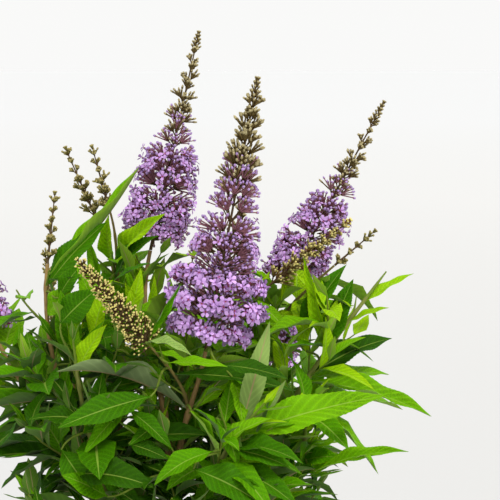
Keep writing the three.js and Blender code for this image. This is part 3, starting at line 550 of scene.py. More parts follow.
class Growth:
    """Everything that the shrub grows: its limbs, its leaves and its spikes."""

    def __init__(self):
        self.limbs, self.leaves, self.spikes = [], [], []
        self.foliage = surface_of("foliage_")
        self.blossom = surface_of(("flower_", "bud_"))
        cleared = stem_axes(MASSES["front"])[:2]
        self.cleared = [axis.point(share) for axis in cleared for share in FREE_STEM["shares"]]
        for number, (name, mass) in enumerate(MASSES.items()):
            self.grow_mass(name, mass, number + 1)
        held = [limb["axis"] for limb in self.limbs if limb["kind"] != "shoot"]
        steps = 12
        seats = [(axis.point(i / steps), axis.way(i / steps)) for axis in held for i in range(1, steps + 1)]
        for base, tip, face, width, green in MORE_LEAVES:
            self.add_held_leaf(seats, Vector(base), Vector(tip), Vector(face), width, green)

    def add_limb(self, kind, axis, foot, tip, joints=(0.5,)):
        """A limb: its kind, curve, radius at the foot and the tip, and where along it its joints are."""
        self.limbs.append({"kind": kind, "axis": axis, "foot": foot, "tip": tip, "joints": joints})

    def add_held_leaf(self, seats, base, tip, face, width, green):
        """A leaf of a given place, on a short shoot from the nearest limb."""
        start, way = min(seats, key=lambda seat: (seat[0] - base).length)
        ahead = (tip - base).normalized()
        chord = (base - start).normalized() * 1.2
        shoot = Sweep(start, (chord + way).normalized(), base, (chord + ahead).normalized())
        self.add_limb("shoot", shoot, 0.9, 0.6)
        leaf = {"base": base, "tip": tip, "face": face, "width": width, "bend": 0.2, "green": green}
        self.leaves.append({**leaf, "set": True})

    def grow_mass(self, name, mass, seed):
        draw, fine = numbers_from(seed), numbers_from(seed + 500)
        axes = stem_axes(mass)
        tone = mass.get("green", 0.3)
        tips = [corner.co / MM for corner in frame["nodes"]["foliage_" + name].data.vertices]
        corners = KDTree(len(tips))
        for number, spot in enumerate(tips):
            corners.insert(spot, number)
        corners.balance()

        def standing(takes):
            """The take that the solids have, known by its tip."""
            return next((take for take in takes if corners.find(take["tip"])[2] < 0.1), None)

        for stem, at, reach, face, width, green in mass.get("set", []):
            leaf = standing(set_takes(axes, stem, at, reach, face, width))
            if leaf:
                self.leaves.append({**leaf, "green": green, "set": True})
        for stem, axis in enumerate(axes):
            main = stem == 0
            taken = [leaf[1] for leaf in mass.get("set", []) if leaf[0] == stem]
            pairs = math.floor(axis.length() / NODE_SPACING + 0.5)
            joints = [(pair + 0.45) / pairs for pair in range(pairs)]
            size = STEM if main else SIDE_STEM
            foot, tip = THICKNESS["main" if main else "side"]
            self.add_limb(self.kind_of(mass, main), axis, size["foot"] * foot, size["tip"] * tip, joints)
            for pair, share in enumerate(joints):
                length = LEAF["length"] * (mix(1, LEAVES["tip"], share**2) if main else LEAVES["side"])
                for half in HALVES:
                    heading = mass["turn"] + 90 * pair + 12 * stem + half
                    takes = leaf_takes(axis, share, heading, length, draw)
                    free = all(abs(at - share) > LEAVES["free"] / pairs for at in taken)
                    if free and not self.add_leaf(standing(takes), tone + LEAVES["younger"] * share, fine):
                        size = length * some(fine, LEFT_OUT["size"])
                        self.add_small_leaf(axis, share, heading, size, tone, fine, *LEFT_OUT["stands"])
                    wanted = draw() < TWIG["share"]
                    twig = grown_twig(axis, share, heading, length, draw)
                    wanted = wanted and main and share < LEAVES["twigs"]
                    if not (wanted and self.add_twig(twig, standing, tone, fine)):
                        self.add_shoot(axis, share, heading, tone, fine)
        self.add_ends(mass, axes, tone, fine)

    def kind_of(self, mass, main):
        """The kind of a mass's stem: each kind of stem is a piece of its own."""
        if "bough" not in mass:
            return "low stem"
        if not main:
            return "side stem"
        return "stem" if "spike" in mass else "leafy stem"

    def add_leaf(self, leaf, tone, fine):
        if leaf:
            green = self.green_of(leaf["tip"], tone, fine)
            if not self.hides_stem(leaf["base"].lerp(leaf["tip"], 0.5)):
                self.leaves.append({**leaf, "green": green})
        return bool(leaf)

    def green_of(self, point, tone, fine):
        """A leaf's green: deeper low down and inside, lighter at the top, right and outside; partly age,
        partly painted shade low down and inside and painted light at the lit top, right and outside.
        """
        outside = (point - Vector(INNER["centre"])).length / INNER["radius"] - GREEN["mean"]
        x, z = GREEN["from"]
        place = GREEN["up"] * (point.z - z) + GREEN["right"] * (point.x - x)
        # The place and outside terms paint light on the lit upper right and outside, and shade low down and
        # inside.
        score = tone + GREEN["outside"] * outside + place + GREEN_VARIES * (fine() - 0.5)
        return max(0, min(GREENS.index("young"), math.floor(score * GREEN_STEPS)))

    def add_twig(self, twig, standing, tone, fine):
        leaves = [standing(takes) for takes in twig["leaves"]]
        if not any(leaves):
            return False
        self.add_limb("twig", twig["axis"], TWIG["foot"], TWIG["foot"] * 0.5, TWIG["joints"])
        for leaf in leaves:
            self.add_leaf(leaf, tone + LEAVES["twig_younger"], fine)
        self.add_pairs(TWIG_PAIRS, twig["axis"], twig["turn"] + 45, tone, fine)
        return True

    def add_pairs(self, pairs, axis, turn, tone, fine):
        """Pairs of small leaves, each pair square to the one below it."""
        (lean, less), young, tried = pairs["lean"], tone + pairs["younger"], pairs.get("tried", 2)
        for pair, (place, length) in enumerate(pairs["at"]):
            for half in HALVES:
                size, heading = length * some(fine, pairs["size"]), turn + 90 * pair + half
                self.add_small_leaf(axis, place, heading, size, young, fine, lean - less * pair, tried)

    def add_small_leaf(self, axis, share, heading, length, tone, fine, lean, tried):
        """A small leaf that the solids leave out, kept close to the masses and off the spikes."""
        for _ in range(tried):
            base, way = axis.point(share), axis.way(share)
            side = heading_round(way, varied(fine, heading, SMALL_VARIES["heading"]))
            ahead = leant(way, side, varied(fine, lean, SMALL_VARIES["lean"]))
            bend = some(fine, SMALL_VARIES["bend"])
            tip = base + ahead * length - UP * (0.5 * bend * length)
            face = way * 0.6 + UP * 0.7 + ahead.cross(UP) * (fine() - 0.5)
            hidden = self.hides_stem(base.lerp(tip, 0.5)) or self.hides_stem(tip)
            if self.has_room(tip, OFF_SPIKE) and not hidden:
                width = length * some(fine, SMALL_VARIES["width"])
                leaf = {"base": base, "tip": tip, "face": face, "width": width, "bend": bend}
                self.leaves.append({**leaf, "green": self.green_of(tip, tone, fine), "small": True})
                return

    def hides_stem(self, point):
        """Whether a leaf there would stand across the front of the stem that carries the widest spike."""
        high, wide = FREE_STEM["high"], FREE_STEM["wide"]
        return any(
            abs(point.z - spot.z) < high and abs(point.x - spot.x) < wide and point.y < spot.y
            for spot in self.cleared
        )

    def has_room(self, point, margin):
        """Whether a small leaf or shoot may end there: in the crown, near a mass and clear of the spikes."""
        if not in_reach(point) or self.foliage.find_nearest(point, NEAR_MASS)[0] is None:
            return False
        spot, normal, _, distance = self.blossom.find_nearest(point, 60)
        return spot is None or not (distance < margin or (point - spot).dot(normal) < 0)

    def add_shoot(self, axis, share, heading, tone, fine):
        """A short leafy shoot in the axil of a leaf that has no twig."""
        base, way = axis.point(share), axis.way(share)
        side = heading_round(way, varied(fine, heading, SMALL_VARIES["heading"]))
        ahead = leant(way, side, some(fine, SHOOT["lean"]))
        shoot = side_shoot(base, ahead, some(fine, SHOOT["length"]), 0.4)
        if self.has_room(shoot.knots[-1], SHOOT_OFF_SPIKE):
            self.add_limb("shoot", shoot, *SHOOT["radii"])
            self.add_pairs(SHOOT_PAIRS, shoot, 360 * fine(), tone, fine)

    def add_ends(self, mass, axes, tone, fine):
        """Each stem's spike, or the young leaves of the shoot that it ends in."""
        for axis, part in zip(axes, [mass, *mass.get("sides", [])]):
            if part.get("spike"):
                self.spikes.append(grown_spike(axis.point(1), axis.way(1), part))
                continue
            top, tip = Vector(part["top"]), Vector(part["tip"])
            shoot = Sweep(top, axis.way(1), tip, (tip - top).normalized())
            self.add_limb("shoot", shoot, 1.3, 0.5)
            self.add_pairs(END_PAIRS, shoot, part.get("turn", 0), tone, fine)


GROWTH = Growth()

# ---------------------------------------------------------------- finishes

SIDE_VEINS = {"slant": 0.34, "pitch": 38.0, "sharpness": 0.3}


def tone_of(red, green, blue):
    """A screen colour, 0 to 255, as a linear colour."""
    parts = (red / 255, green / 255, blue / 255)
    return tuple(p / 12.92 if p <= 0.04045 else ((p + 0.055) / 1.055) ** 2.4 for p in parts)


def scaled(colour, factor):
    return tuple(min(1, part * factor) for part in colour)


class Nodes:
    """A tree of nodes, and short ways of adding to it."""

    def __init__(self, tree):
        self.tree = tree

    def give(self, target, value):
        """Joins a socket to an input, or sets a plain value there."""
        if isinstance(value, bpy.types.NodeSocket):
            self.tree.links.new(value, target)
        elif target.type == "RGBA":
            target.default_value = (*value, 1)
        else:
            target.default_value = value

    def add(self, kind, given=(), **settings):
        """A new node with its settings, and what is given to each input that is named."""
        node = self.tree.nodes.new(kind)
        for key, value in settings.items():
            setattr(node, key, value)
        for key, value in dict(given).items():
            self.give(node.inputs[key], value)
        return node

    def maths(self, operation, *values):
        return self.add("ShaderNodeMath", enumerate(values), operation=operation).outputs[0]


class Finish(Nodes):
    """A material and its nodes."""

    def __init__(self, name, roughness, specular, more=()):
        self.material = bpy.data.materials.new(name)
        self.material.use_nodes = True
        super().__init__(self.material.node_tree)
        self.shader = self.tree.nodes["Principled BSDF"]
        for label, value in {"Roughness": roughness, "Specular IOR Level": specular, **dict(more)}.items():
            self.give(self.shader.inputs[label], value)

    def place(self, stretch=None):
        """The object's own place, stretched where asked."""
        place = self.add("ShaderNodeTexCoord").outputs["Object"]
        if stretch:
            place = self.add("ShaderNodeMapping", {"Vector": place, "Scale": stretch}).outputs["Vector"]
        return place

    def grain(self, scale, detail=3.0, stretch=None):
        given = {"Scale": scale, "Detail": detail, "Vector": self.place(stretch)}
        return self.add("ShaderNodeTexNoise", given).outputs["Fac"]

    def cells(self, scale, feature, stretch=None):
        given = {"Scale": scale, "Vector": self.place(stretch)}
        return self.add("ShaderNodeTexVoronoi", given, feature=feature).outputs["Distance"]

    def side_veins(self):
        """How far a point of a blade is from its midrib, and its side veins, from 0 on one to 1 off it."""
        spread = self.add("ShaderNodeUVMap", uv_map="blade")
        parts = self.add("ShaderNodeSeparateXYZ", {"Vector": spread.outputs["UV"]})
        across = self.maths("ABSOLUTE", self.maths("SUBTRACT", parts.outputs["Y"], 0.5))
        slanted = self.maths("MULTIPLY", across, SIDE_VEINS["slant"])
        along = self.maths("SUBTRACT", parts.outputs["X"], slanted)
        wave = self.maths("SINE", self.maths("MULTIPLY", along, SIDE_VEINS["pitch"]))
        ridge = self.maths("ABSOLUTE", wave)
        return across, self.maths("POWER", ridge, SIDE_VEINS["sharpness"])

    def ramp(self, source, *stops):
        ramp = self.add("ShaderNodeValToRGB", {"Fac": source})
        elements = ramp.color_ramp.elements
        while len(elements) < len(stops):
            elements.new(0.5)
        for element, (position, colour) in zip(elements, stops):
            element.position = position
            element.color = (*colour, 1)
        return ramp.outputs["Color"]

    def mixed(self, share, first, second):
        return self.add("ShaderNodeMix", {"Factor": share, 6: first, 7: second}, data_type="RGBA").outputs[2]

    def colour(self, source):
        self.give(self.shader.inputs["Base Color"], source)

    def bump(self, height, strength, distance):
        bump = self.add("ShaderNodeBump", {"Strength": strength, "Distance": distance, "Height": height})
        self.give(self.shader.inputs["Normal"], bump.outputs["Normal"])
        return self.material

    def mottled(self, scale, low, high, bump):
        """A colour in soft patches between two stops of a ramp, over a fine relief."""
        fine, strength, distance = bump
        self.colour(self.ramp(self.grain(scale), low, high))
        return self.bump(self.grain(fine), strength, distance)


def leaf_finish(name, colour, vein_depth, roughness):
    """A blade: a plain green, lighter and darker in patches, puckered between its fine veins."""
    glow = {"Subsurface Weight": 0.2, "Subsurface Radius": (0.6, 1.0, 0.1), "Subsurface Scale": 0.002}
    finish = Finish(name, roughness, 0.05, glow)
    tone = finish.ramp(finish.grain(30, 2.0), (0.32, scaled(colour, 0.72)), (0.68, scaled(colour, 1.2)))
    _, vein = finish.side_veins()
    net = finish.cells(520, "DISTANCE_TO_EDGE")
    pucker = finish.maths("MINIMUM", finish.maths("MULTIPLY", net, 5.0), 1.0)
    fine = finish.mixed(pucker, scaled(colour, 1.1), tone)
    finish.colour(finish.mixed(vein, scaled(colour, 1.7), fine))
    relief = finish.maths("ADD", finish.maths("MULTIPLY", vein, 0.6), finish.maths("MULTIPLY", pucker, 0.5))
    return finish.bump(relief, 0.45, vein_depth)


def rib_finish(name, colour):
    finish = Finish(name, 0.6, 0.15)
    return finish.mottled(60, (0.35, scaled(colour, 0.85)), (0.7, scaled(colour, 1.1)), (700, 0.3, 0.0002))


def under_finish(name, colour):
    """The underside: felted, matt and greyer."""
    finish = Finish(name, 0.9, 0.08, {"Sheen Weight": 0.08, "Sheen Roughness": 0.6})
    tone = finish.ramp(finish.grain(50), (0.3, scaled(colour, 0.82)), (0.7, scaled(colour, 1.12)))
    across, vein = finish.side_veins()
    veins = finish.mixed(vein, scaled(colour, 1.3), tone)
    rib = finish.ramp(across, (0.02, (0, 0, 0)), (0.045, (1, 1, 1)))
    finish.colour(finish.mixed(rib, tone_of(168, 150, 104), veins))
    return finish.bump(finish.grain(1600), 0.4, 0.0003)


def stem_finish(name, colour, dark):
    """A young stem: long fine ridges and small pores along it."""
    finish = Finish(name, 0.7, 0.3)
    ridges = finish.grain(300, stretch=(1, 1, 0.12))
    pores = finish.cells(420, "F1", stretch=(1, 1, 0.35))
    spots = finish.ramp(pores, (0.12, scaled(colour, 1.5)), (0.24, colour))
    finish.colour(finish.mixed(finish.maths("MULTIPLY", ridges, 0.9), spots, dark))
    return finish.bump(ridges, 0.5, 0.0004)


def bark_finish(name, colour, dark):
    """Old bark: fibrous strips, grey on their faces and dark between them."""
    finish = Finish(name, 0.95, 0.15)
    strips = finish.grain(150, 5.0, stretch=(1, 1, 0.16))
    tone = finish.ramp(strips, (0.36, dark), (0.5, colour), (0.72, scaled(colour, 1.55)))
    dust = finish.maths("MULTIPLY", finish.grain(55, 4.0), 0.35)
    finish.colour(finish.mixed(dust, tone, tone_of(122, 118, 104)))
    return finish.bump(strips, 0.9, 0.0012)


def petal_finish(name, colour, edge):
    """A petal lobe: its colour in soft patches, with a fine sheen."""
    finish = Finish(name, 0.75, 0.1, {"Sheen Weight": 0.1, "Sheen Roughness": 0.5})
    return finish.mottled(210, (0.32, edge), (0.62, colour), (1900, 0.25, 0.0003))


def plain_finish(name, colour):
    finish = Finish(name, 0.7, 0.12)
    return finish.mottled(240, (0.35, scaled(colour, 0.8)), (0.65, scaled(colour, 1.2)), (1400, 0.3, 0.0003))


# ---------------------------------------------------------------- meshes and trees of nodes


def stored(mesh, name, kind, domain, key, values):
    """Stores one value, or one row of numbers, for each point, edge or face."""
    attribute = mesh.attributes.new(name, kind, domain)
    flat = values if kind in ("FLOAT", "INT") else [part for row in values for part in row]
    attribute.data.foreach_set(key, flat)


def new_piece(name, mesh):
    piece = bpy.data.objects.new(name, mesh)
    bpy.context.scene.collection.objects.link(piece)
    return piece


class Making(Nodes):
    """A tree of geometry nodes with its named inputs, each a name, a kind and a value."""

    def __init__(self, name, *inputs):
        super().__init__(bpy.data.node_groups.new(name, "GeometryNodeTree"))
        sockets = self.tree.interface
        sockets.new_socket("Geometry", in_out="INPUT", socket_type="NodeSocketGeometry")
        for label, kind, value in inputs:
            socket = sockets.new_socket(label, in_out="INPUT", socket_type="NodeSocket" + kind)
            if value is not None:
                socket.default_value = value
        sockets.new_socket("Geometry", in_out="OUTPUT", socket_type="NodeSocketGeometry")
        self.given = self.add("NodeGroupInput").outputs

    def named(self, name, kind):
        node = self.add("GeometryNodeInputNamedAttribute", {"Name": name}, data_type=kind)
        return next(socket for socket in node.outputs if socket.enabled)

    def end(self, last, labels):
        """Makes all real, and sets a material on every face, then the others where a face is marked so."""
        last = self.add("GeometryNodeRealizeInstances", {"Geometry": last}).outputs["Geometry"]
        for number, label in enumerate(labels):
            given = {"Geometry": last, "Material": self.given[label]}
            if number:
                marks = {2: self.named("finish", "INT"), 3: number}
                same = self.add("FunctionNodeCompare", marks, data_type="INT", operation="EQUAL")
                given["Selection"] = same.outputs["Result"]
            last = self.add("GeometryNodeSetMaterial", given).outputs["Geometry"]
        self.add("NodeGroupOutput", {"Geometry": last})
        return self.tree


def limb_tree():
    """Lines that carry a radius become round limbs, with a light relief."""
    making = Making(
        "limbs",
        ("Sides", "Int", 8),
        ("Relief", "Float", 0.0001),
        ("Relief scale", "Float", 300.0),
        ("Finish", "Material", None),
    )
    given, add = making.given, making.add
    line = add("GeometryNodeMeshToCurve", {"Mesh": given["Geometry"]}).outputs["Curve"]
    round_one = {"Resolution": given["Sides"], "Radius": 1.0}
    ring = add("GeometryNodeCurvePrimitiveCircle", round_one).outputs["Curve"]
    girth = making.named("girth", "FLOAT")
    sweep = {"Curve": line, "Profile Curve": ring, "Scale": girth, "Fill Caps": True}
    tube = add("GeometryNodeCurveToMesh", sweep).outputs["Mesh"]
    grain = add("ShaderNodeTexNoise", {"Scale": given["Relief scale"]}).outputs["Fac"]
    height = making.maths("MULTIPLY", making.maths("SUBTRACT", grain, 0.5), given["Relief"])
    way = add("GeometryNodeInputNormal").outputs["Normal"]
    push = add("ShaderNodeVectorMath", {"Vector": way, "Scale": height}, operation="SCALE").outputs["Vector"]
    moved = add("GeometryNodeSetPosition", {"Geometry": tube, "Offset": push}).outputs["Geometry"]
    smooth = add("GeometryNodeSetShadeSmooth", {"Geometry": moved}).outputs["Geometry"]
    return making.end(smooth, ["Finish"])


def setting_out_tree(name, *labels):
    """Sets one of a family of shapes on each point, turned and sized as the point says."""
    finishes = [(label, "Material", None) for label in labels]
    making = Making(name, ("Shapes", "Collection", None), ("Growth", "Float", 1.0), *finishes)
    given, add, named = making.given, making.add, making.named
    shapes = {"Collection": given["Shapes"], "Separate Children": True, "Reset Children": True}
    family = add("GeometryNodeCollectionInfo", shapes).outputs["Instances"]
    grown = {"Vector": named("size", "FLOAT_VECTOR"), "Scale": given["Growth"]}
    size = add("ShaderNodeVectorMath", grown, operation="SCALE").outputs["Vector"]
    setting = {
        "Points": given["Geometry"],
        "Instance": family,
        "Pick Instance": True,
        "Instance Index": named("kind", "INT"),
        "Rotation": named("turn", "QUATERNION"),
        "Scale": size,
    }
    return making.end(add("GeometryNodeInstanceOnPoints", setting).outputs["Instances"], labels)


def put_through(piece, tree, **values):
    """Runs a piece's mesh through a tree of nodes, with a value for each input that is named, and keeps
    the plain mesh that comes out."""
    modifier = piece.modifiers.new("grown", "NODES")
    modifier.node_group = tree
    for item in tree.interface.items_tree:
        if item.item_type == "SOCKET" and item.in_out == "INPUT" and item.name in values:
            modifier[item.identifier] = values[item.name]
    depsgraph = bpy.context.evaluated_depsgraph_get()
    mesh = bpy.data.meshes.new_from_object(
        piece.evaluated_get(depsgraph), preserve_all_data_layers=True, depsgraph=depsgraph
    )
    piece.modifiers.remove(modifier)
    plain = piece.data
    piece.data = mesh
    bpy.data.meshes.remove(plain)
    for name in ("girth", "turn", "size", "kind", "finish"):
        if name in mesh.attributes:
            mesh.attributes.remove(mesh.attributes[name])
    mesh.name = piece.name
    if not mesh.polygons:
        raise RuntimeError(piece.name + " came out empty")
    return piece


def kept(piece, slot, *nodes):
    """Hands a finished piece to the frame."""
    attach(piece, "root")
    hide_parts(*nodes)


def limb_piece(name, lines, tree, **values):
    """Lines, each a row of points in millimetres with their radii, as round limbs."""
    spots, edges, girths = [], [], []
    for line in lines:
        first = len(spots)
        spots += [point * MM for point, _ in line]
        girths += [radius * MM for _, radius in line]
        edges += [(i, i + 1) for i in range(first, len(spots) - 1)]
    mesh = bpy.data.meshes.new(name)
    mesh.from_pydata(spots, edges, [])
    stored(mesh, "girth", "FLOAT", "POINT", "value", girths)
    return put_through(new_piece(name, mesh), tree, **values)


def stand(reach, up):
    """The turn that carries +X along a reach and +Z up from a surface."""
    ahead = reach.normalized()
    up = square_to(ahead, up)
    return Matrix((ahead, up.cross(ahead), up)).transposed().to_quaternion()


def set_out_piece(name, spots, tree, shapes, growth=1.0, **finishes):
    """Spots, each a place in millimetres, a turn, a size in millimetres and a kind, set out."""
    places, turns, sizes, kinds = zip(*spots)
    mesh = bpy.data.meshes.new(name)
    mesh.from_pydata([place * MM for place in places], [], [])
    stored(mesh, "turn", "QUATERNION", "POINT", "value", turns)
    stored(mesh, "size", "FLOAT_VECTOR", "POINT", "vector", [Vector(size) * MM for size in sizes])
    stored(mesh, "kind", "INT", "POINT", "value", kinds)
    return put_through(new_piece(name, mesh), tree, Shapes=shapes, Growth=growth, **finishes)


class Family:
    """A family of small shapes that a tree sets out; they are taken away again afterwards."""

    def __init__(self, name):
        self.collection = bpy.data.collections.new(name)

    def add(self, corners, faces, marks, spread=None, flat=False, crease=None):
        """Adds one shape: its corners, faces, each face's mark, and where its corners lie on a map."""
        name = f"{self.collection.name}_{len(self.collection.objects):02d}"
        mesh = bpy.data.meshes.new(name)
        mesh.from_pydata(corners, [], faces)
        stored(mesh, "finish", "INT", "FACE", "value", marks)
        if spread:
            layer = mesh.uv_layers.new(name="blade")
            for loop in mesh.loops:
                layer.data[loop.index].uv = spread[loop.vertex_index]
        mesh.polygons.foreach_set("use_smooth", [not flat] * len(mesh.polygons))
        if crease is not None:  # a sharp edge between the faces with this mark and the others
            beside = {}
            for face, mark in zip(mesh.polygons, marks):
                for key in face.edge_keys:
                    beside.setdefault(key, []).append(mark == crease)
            for edge in mesh.edges:
                edge.use_edge_sharp = len(set(beside[edge.key])) == 2
        self.collection.objects.link(bpy.data.objects.new(name, mesh))

    def clear(self):
        for shape in list(self.collection.objects):
            mesh = shape.data
            bpy.data.objects.remove(shape)
            bpy.data.meshes.remove(mesh)
        bpy.data.collections.remove(self.collection)


# ---------------------------------------------------------------- small shapes

# A blade's outline: shares of its length, and half its width there as a share of the widest.
BLADE = (
    (0.0, 0.07), (0.06, 0.1), (0.12, 0.36), (0.2, 0.66), (0.3, 0.9), (0.4, 1.0),
    (0.52, 0.97), (0.64, 0.82), (0.75, 0.62), (0.85, 0.4), (0.93, 0.19),
)  # fmt: skip
SMALL_BLADE = ((0.0, 0.12), (0.16, 0.55), (0.36, 1.0), (0.6, 0.86), (0.82, 0.42))
# How a blade stands: its arch, the slope of its two halves, its twist, its waviness.
BLADE_WAYS = (
    (0.05, 0.22, 0.0, 0.02), (0.07, 0.5, 0.25, 0.03), (0.1, 0.3, -0.35, 0.05), (0.06, 0.85, -0.15, 0.02),
    (0.04, 0.15, 0.45, 0.07), (0.12, 0.6, 0.1, 0.03), (-0.04, 0.5, 0.12, 0.02),
)  # fmt: skip
SMALL_WAYS = ((0.04, 0.35, 0.0, 0.0), (0.1, 0.6, 0.3, 0.02), (-0.04, 0.25, -0.3, 0.03))
UPPER, UNDER, RIB = 0, 1, 2  # the marks of a blade's faces
FLATNESS = 0.28  # a blade is drawn as wide as it is long, and is about this wide when it is set out
PUFF, KEEL = 0.012, 0.006  # how far a blade swells between its rib and its edge, and its least thickness
FLORET_LOBES, FLORET_EYE, FLORET_TUBE, FLORET_CALYX, FLORET_THROAT = range(5)
LOBE = (
    (0.5, -0.45), (1.2, -0.62), (2.3, -1.15), (3.3, -1.3), (4.0, -0.5),
    (4.0, 0.55), (3.2, 1.25), (2.2, 1.2), (1.2, 0.62), (0.5, 0.45),
)  # fmt: skip
TIGHT, LONG, BALL = range(3)  # the shapes of bud


def add_blade(family, outline, columns, way, tooth):
    """A blade along +X, one long and one wide: two halves, a pale midrib and a keeled underside."""
    arch, slope, twist, wave = way
    half = 1 / math.hypot(1, slope)
    corners, spread, faces, marks = [], [], [], []
    last = len(columns)
    for number, (share, wide) in enumerate(outline):
        lift = arch * 4 * share * (1 - share)
        turn = twist * (share - 0.5)
        cosine, sine = math.cos(turn), math.sin(turn)
        edge = 1 + tooth * (1 if number % 2 else -1)
        for column in (*columns, None):  # the last is the keel
            side = column or 0
            y = side * 0.5 * wide * half * (edge if abs(side) == 1 else 1)
            z = abs(side) * wide * (0.5 * FLATNESS) * slope * half
            z += wave * wide * abs(side) * math.sin(15 * share + (1.9 if side > 0 else 0))
            if 0.2 < abs(side) < 1:
                z += PUFF * wide
            if column is None:
                z -= PUFF * wide + KEEL
            across, up = y * cosine - z * sine / FLATNESS, z * cosine + y * sine * FLATNESS
            corners.append((share, across, lift + up))
            spread.append((share, 0.5 + 0.5 * side))
    corners.append((1, 0, 0))
    spread.append((1, 0.5))
    size = last + 1
    for number in range(len(outline)):
        a, b = number * size, (number + 1) * size
        ends = number == len(outline) - 1
        for k in range(last - 1):
            faces.append((a + k, b, a + k + 1) if ends else (a + k, b + k, b + k + 1, a + k + 1))
            marks.append(RIB if columns[k] < 0 < columns[k + 1] else UPPER)
        low, high, keel = a, a + last - 1, a + last
        if ends:
            faces += [(low, keel, b), (keel, high, b)]
        else:
            faces += [(low, keel, b + last, b), (keel, high, b + last - 1, b + last)]
        marks += [UNDER, UNDER]
    faces.append(tuple(range(size)))
    marks.append(UNDER)
    family.add(corners, faces, marks, spread, crease=UNDER)


def ringed(rings, sides, marks_of):
    """A closed turned shape along +Z: rings of a height and a radius; a radius of 0 is a point."""
    corners, faces, marks, rows = [], [], [], []
    for height, radius in rings:
        count = sides if radius else 1
        rows.append(list(range(len(corners), len(corners) + count)))
        for k in range(count):
            angle = 2 * math.pi * k / sides
            corners.append((radius * math.cos(angle), radius * math.sin(angle), height))
    for mark, low, high in zip(marks_of, rows, rows[1:]):
        for k in range(sides):
            face = [low[k % len(low)], low[(k + 1) % len(low)]]
            face += [high[(k + 1) % len(high)], high[k % len(high)]]
            faces.append(tuple(dict.fromkeys(face)))
            marks.append(mark)
    for row, mark in ((rows[0][::-1], marks_of[0]), (rows[-1], marks_of[-1])):
        if len(row) > 1:
            faces.append(tuple(row))
            marks.append(mark)
    return corners, faces, marks


def add_floret(family, cup, swing):
    """An open floret that faces +Z, in millimetres: four lobes, an eye, a tube and its calyx."""
    profile = [(-8.5, 0.35), (-6.3, 0.72), (-6.2, 0.45), (-0.5, 0.72), (-0.2, 0)]
    corners, faces, marks = ringed(profile, 4, (FLORET_CALYX, FLORET_CALYX, FLORET_TUBE, FLORET_EYE))
    rim = len(LOBE)
    for lobe in range(4):
        angle = math.pi / 2 * (lobe + 0.5) + swing * math.sin(5 * lobe + 1)
        first = len(corners)
        tilt = cup + 0.24 * math.sin(3 * lobe + 10 * swing)
        for out, side in (*LOBE, (2.4, 0)):
            under = 0.4 if side == 0 else 0
            z = tilt * (out - 0.5) - 0.07 * out * out + 0.16 * abs(side) - under
            x = out * math.cos(angle) - side * math.sin(angle)
            y = out * math.sin(angle) + side * math.cos(angle)
            corners.append((x, y, z))
        faces += [tuple(first + i for i in (k, k + 1, rim - 2 - k, rim - 1 - k)) for k in range(rim // 2 - 1)]
        faces += [(first + (k + 1) % rim, first + k, first + rim) for k in range(rim)]
        marks += [FLORET_THROAT] + [FLORET_LOBES] * (rim // 2 - 2 + rim)
    family.add(corners, faces, marks, flat=True)


def fine_outline(teeth=27):
    """The blade's outline in many short steps, for the leaves that stand out."""
    outline, ends = [], (*BLADE, (1.0, 0.0))
    for number in range(2 * teeth + 1):
        share = number / (2 * teeth) * 0.985
        low, high = next((low, high) for low, high in zip(ends, ends[1:]) if high[0] > share)
        outline.append((share, mix(low[1], high[1], (share - low[0]) / (high[0] - low[0]))))
    smooth = [(s, (a[1] + 2 * w + b[1]) / 4) for (s, w), a, b in zip(outline[1:], outline, outline[2:])]
    return (outline[0], *smooth, outline[-1])


def family_of_blades(name, outline, columns, ways, tooth):
    family = Family(name)
    for way in ways:
        add_blade(family, outline, columns, way, tooth)
    return family


def family_of_florets():
    family = Family("florets")
    for cup, swing in ((0.1, 0.0), (0.42, 0.2), (-0.12, 0.1), (0.8, 0.3)):
        add_floret(family, cup, swing)
    return family


def family_of_buds():
    """Along +Z, one long, in radii of 1: a tight bud, a long one with its knob, a ball on a stalk."""
    family = Family("buds")
    for rings, marks in (
        ([(0, 0.35), (0.32, 0.75), (0.66, 0.6), (0.8, 0.98), (0.94, 0.8), (1, 0)], (0, 1, 1, 2, 2)),
        ([(0, 0.3), (0.24, 0.55), (0.8, 0.45), (0.87, 1.0), (0.96, 0.85), (1, 0)], (0, 1, 1, 2, 2)),
        ([(0, 0.35), (0.6, 0.5), (0.7, 1.0), (0.86, 1.05), (1, 0)], (0, 0, 2, 2)),
    ):
        family.add(*ringed(rings, 5, marks))
    return family


# ---------------------------------------------------------------- what the spikes carry

GOLDEN, GOLDEN_DEGREES = 2.4, 137.5  # the turn from each bud or floret to the next
# How a spike is dressed.
# - stalk: its radius at the foot; bands, bud_bands: how far apart its whorls of florets and of buds are;
#   half_open: from which share of the blossom its whorls are fans of tubes; fill: how thick the shut
#   tubes stand between the low bands and between the high ones.
# - A head of florets: how far it is from the next (apart), its florets and unopened ones, how much its
#   rise, reach and sway vary, its height for its width, its florets' size, and how much paler they are
#   (more florets get the lit copy of the petal colour, partly painted light).
# - The buds: how wide a fan is at the foot and at the tip (fans), their thickness (bud), from where they
#   are young, up to where a whorl has six fans and not four (six), below which radius it has two (two),
#   the tones of the even and the odd ones (buds), the size of the tip's, and their thickness and shape.
SLIM = {
    "stalk": 1.15, "bands": 9.5, "bud_bands": 7, "half_open": 0.56, "fill": (0.7, 0.7), "apart": 14,
    "florets": 8, "unopened": 3, "rise": 0.8, "reach": 0.75, "sway": 6, "height": 1, "size": 0.9,
    "paler": 0.12, "fans": (0.86, 0.72), "bud": 0.8, "young": 0.26, "six": 0, "two": 7,
    "buds": ("olive", "olive"), "tip": 1, "tip_bud": (0.8, TIGHT),
}  # fmt: skip
FULL = {
    **SLIM, "bands": 15, "bud_bands": 9, "half_open": 0.74, "fill": (3.2, 2), "apart": 16,
    "florets": 11, "unopened": 5, "rise": 0.24, "reach": 0.9, "sway": 3, "height": 0.62, "size": 1,
    "paler": 0, "fans": (1.1, 0.8), "bud": 0.92, "young": 0.36, "six": 0.5, "tip": 1.4,
}  # fmt: skip
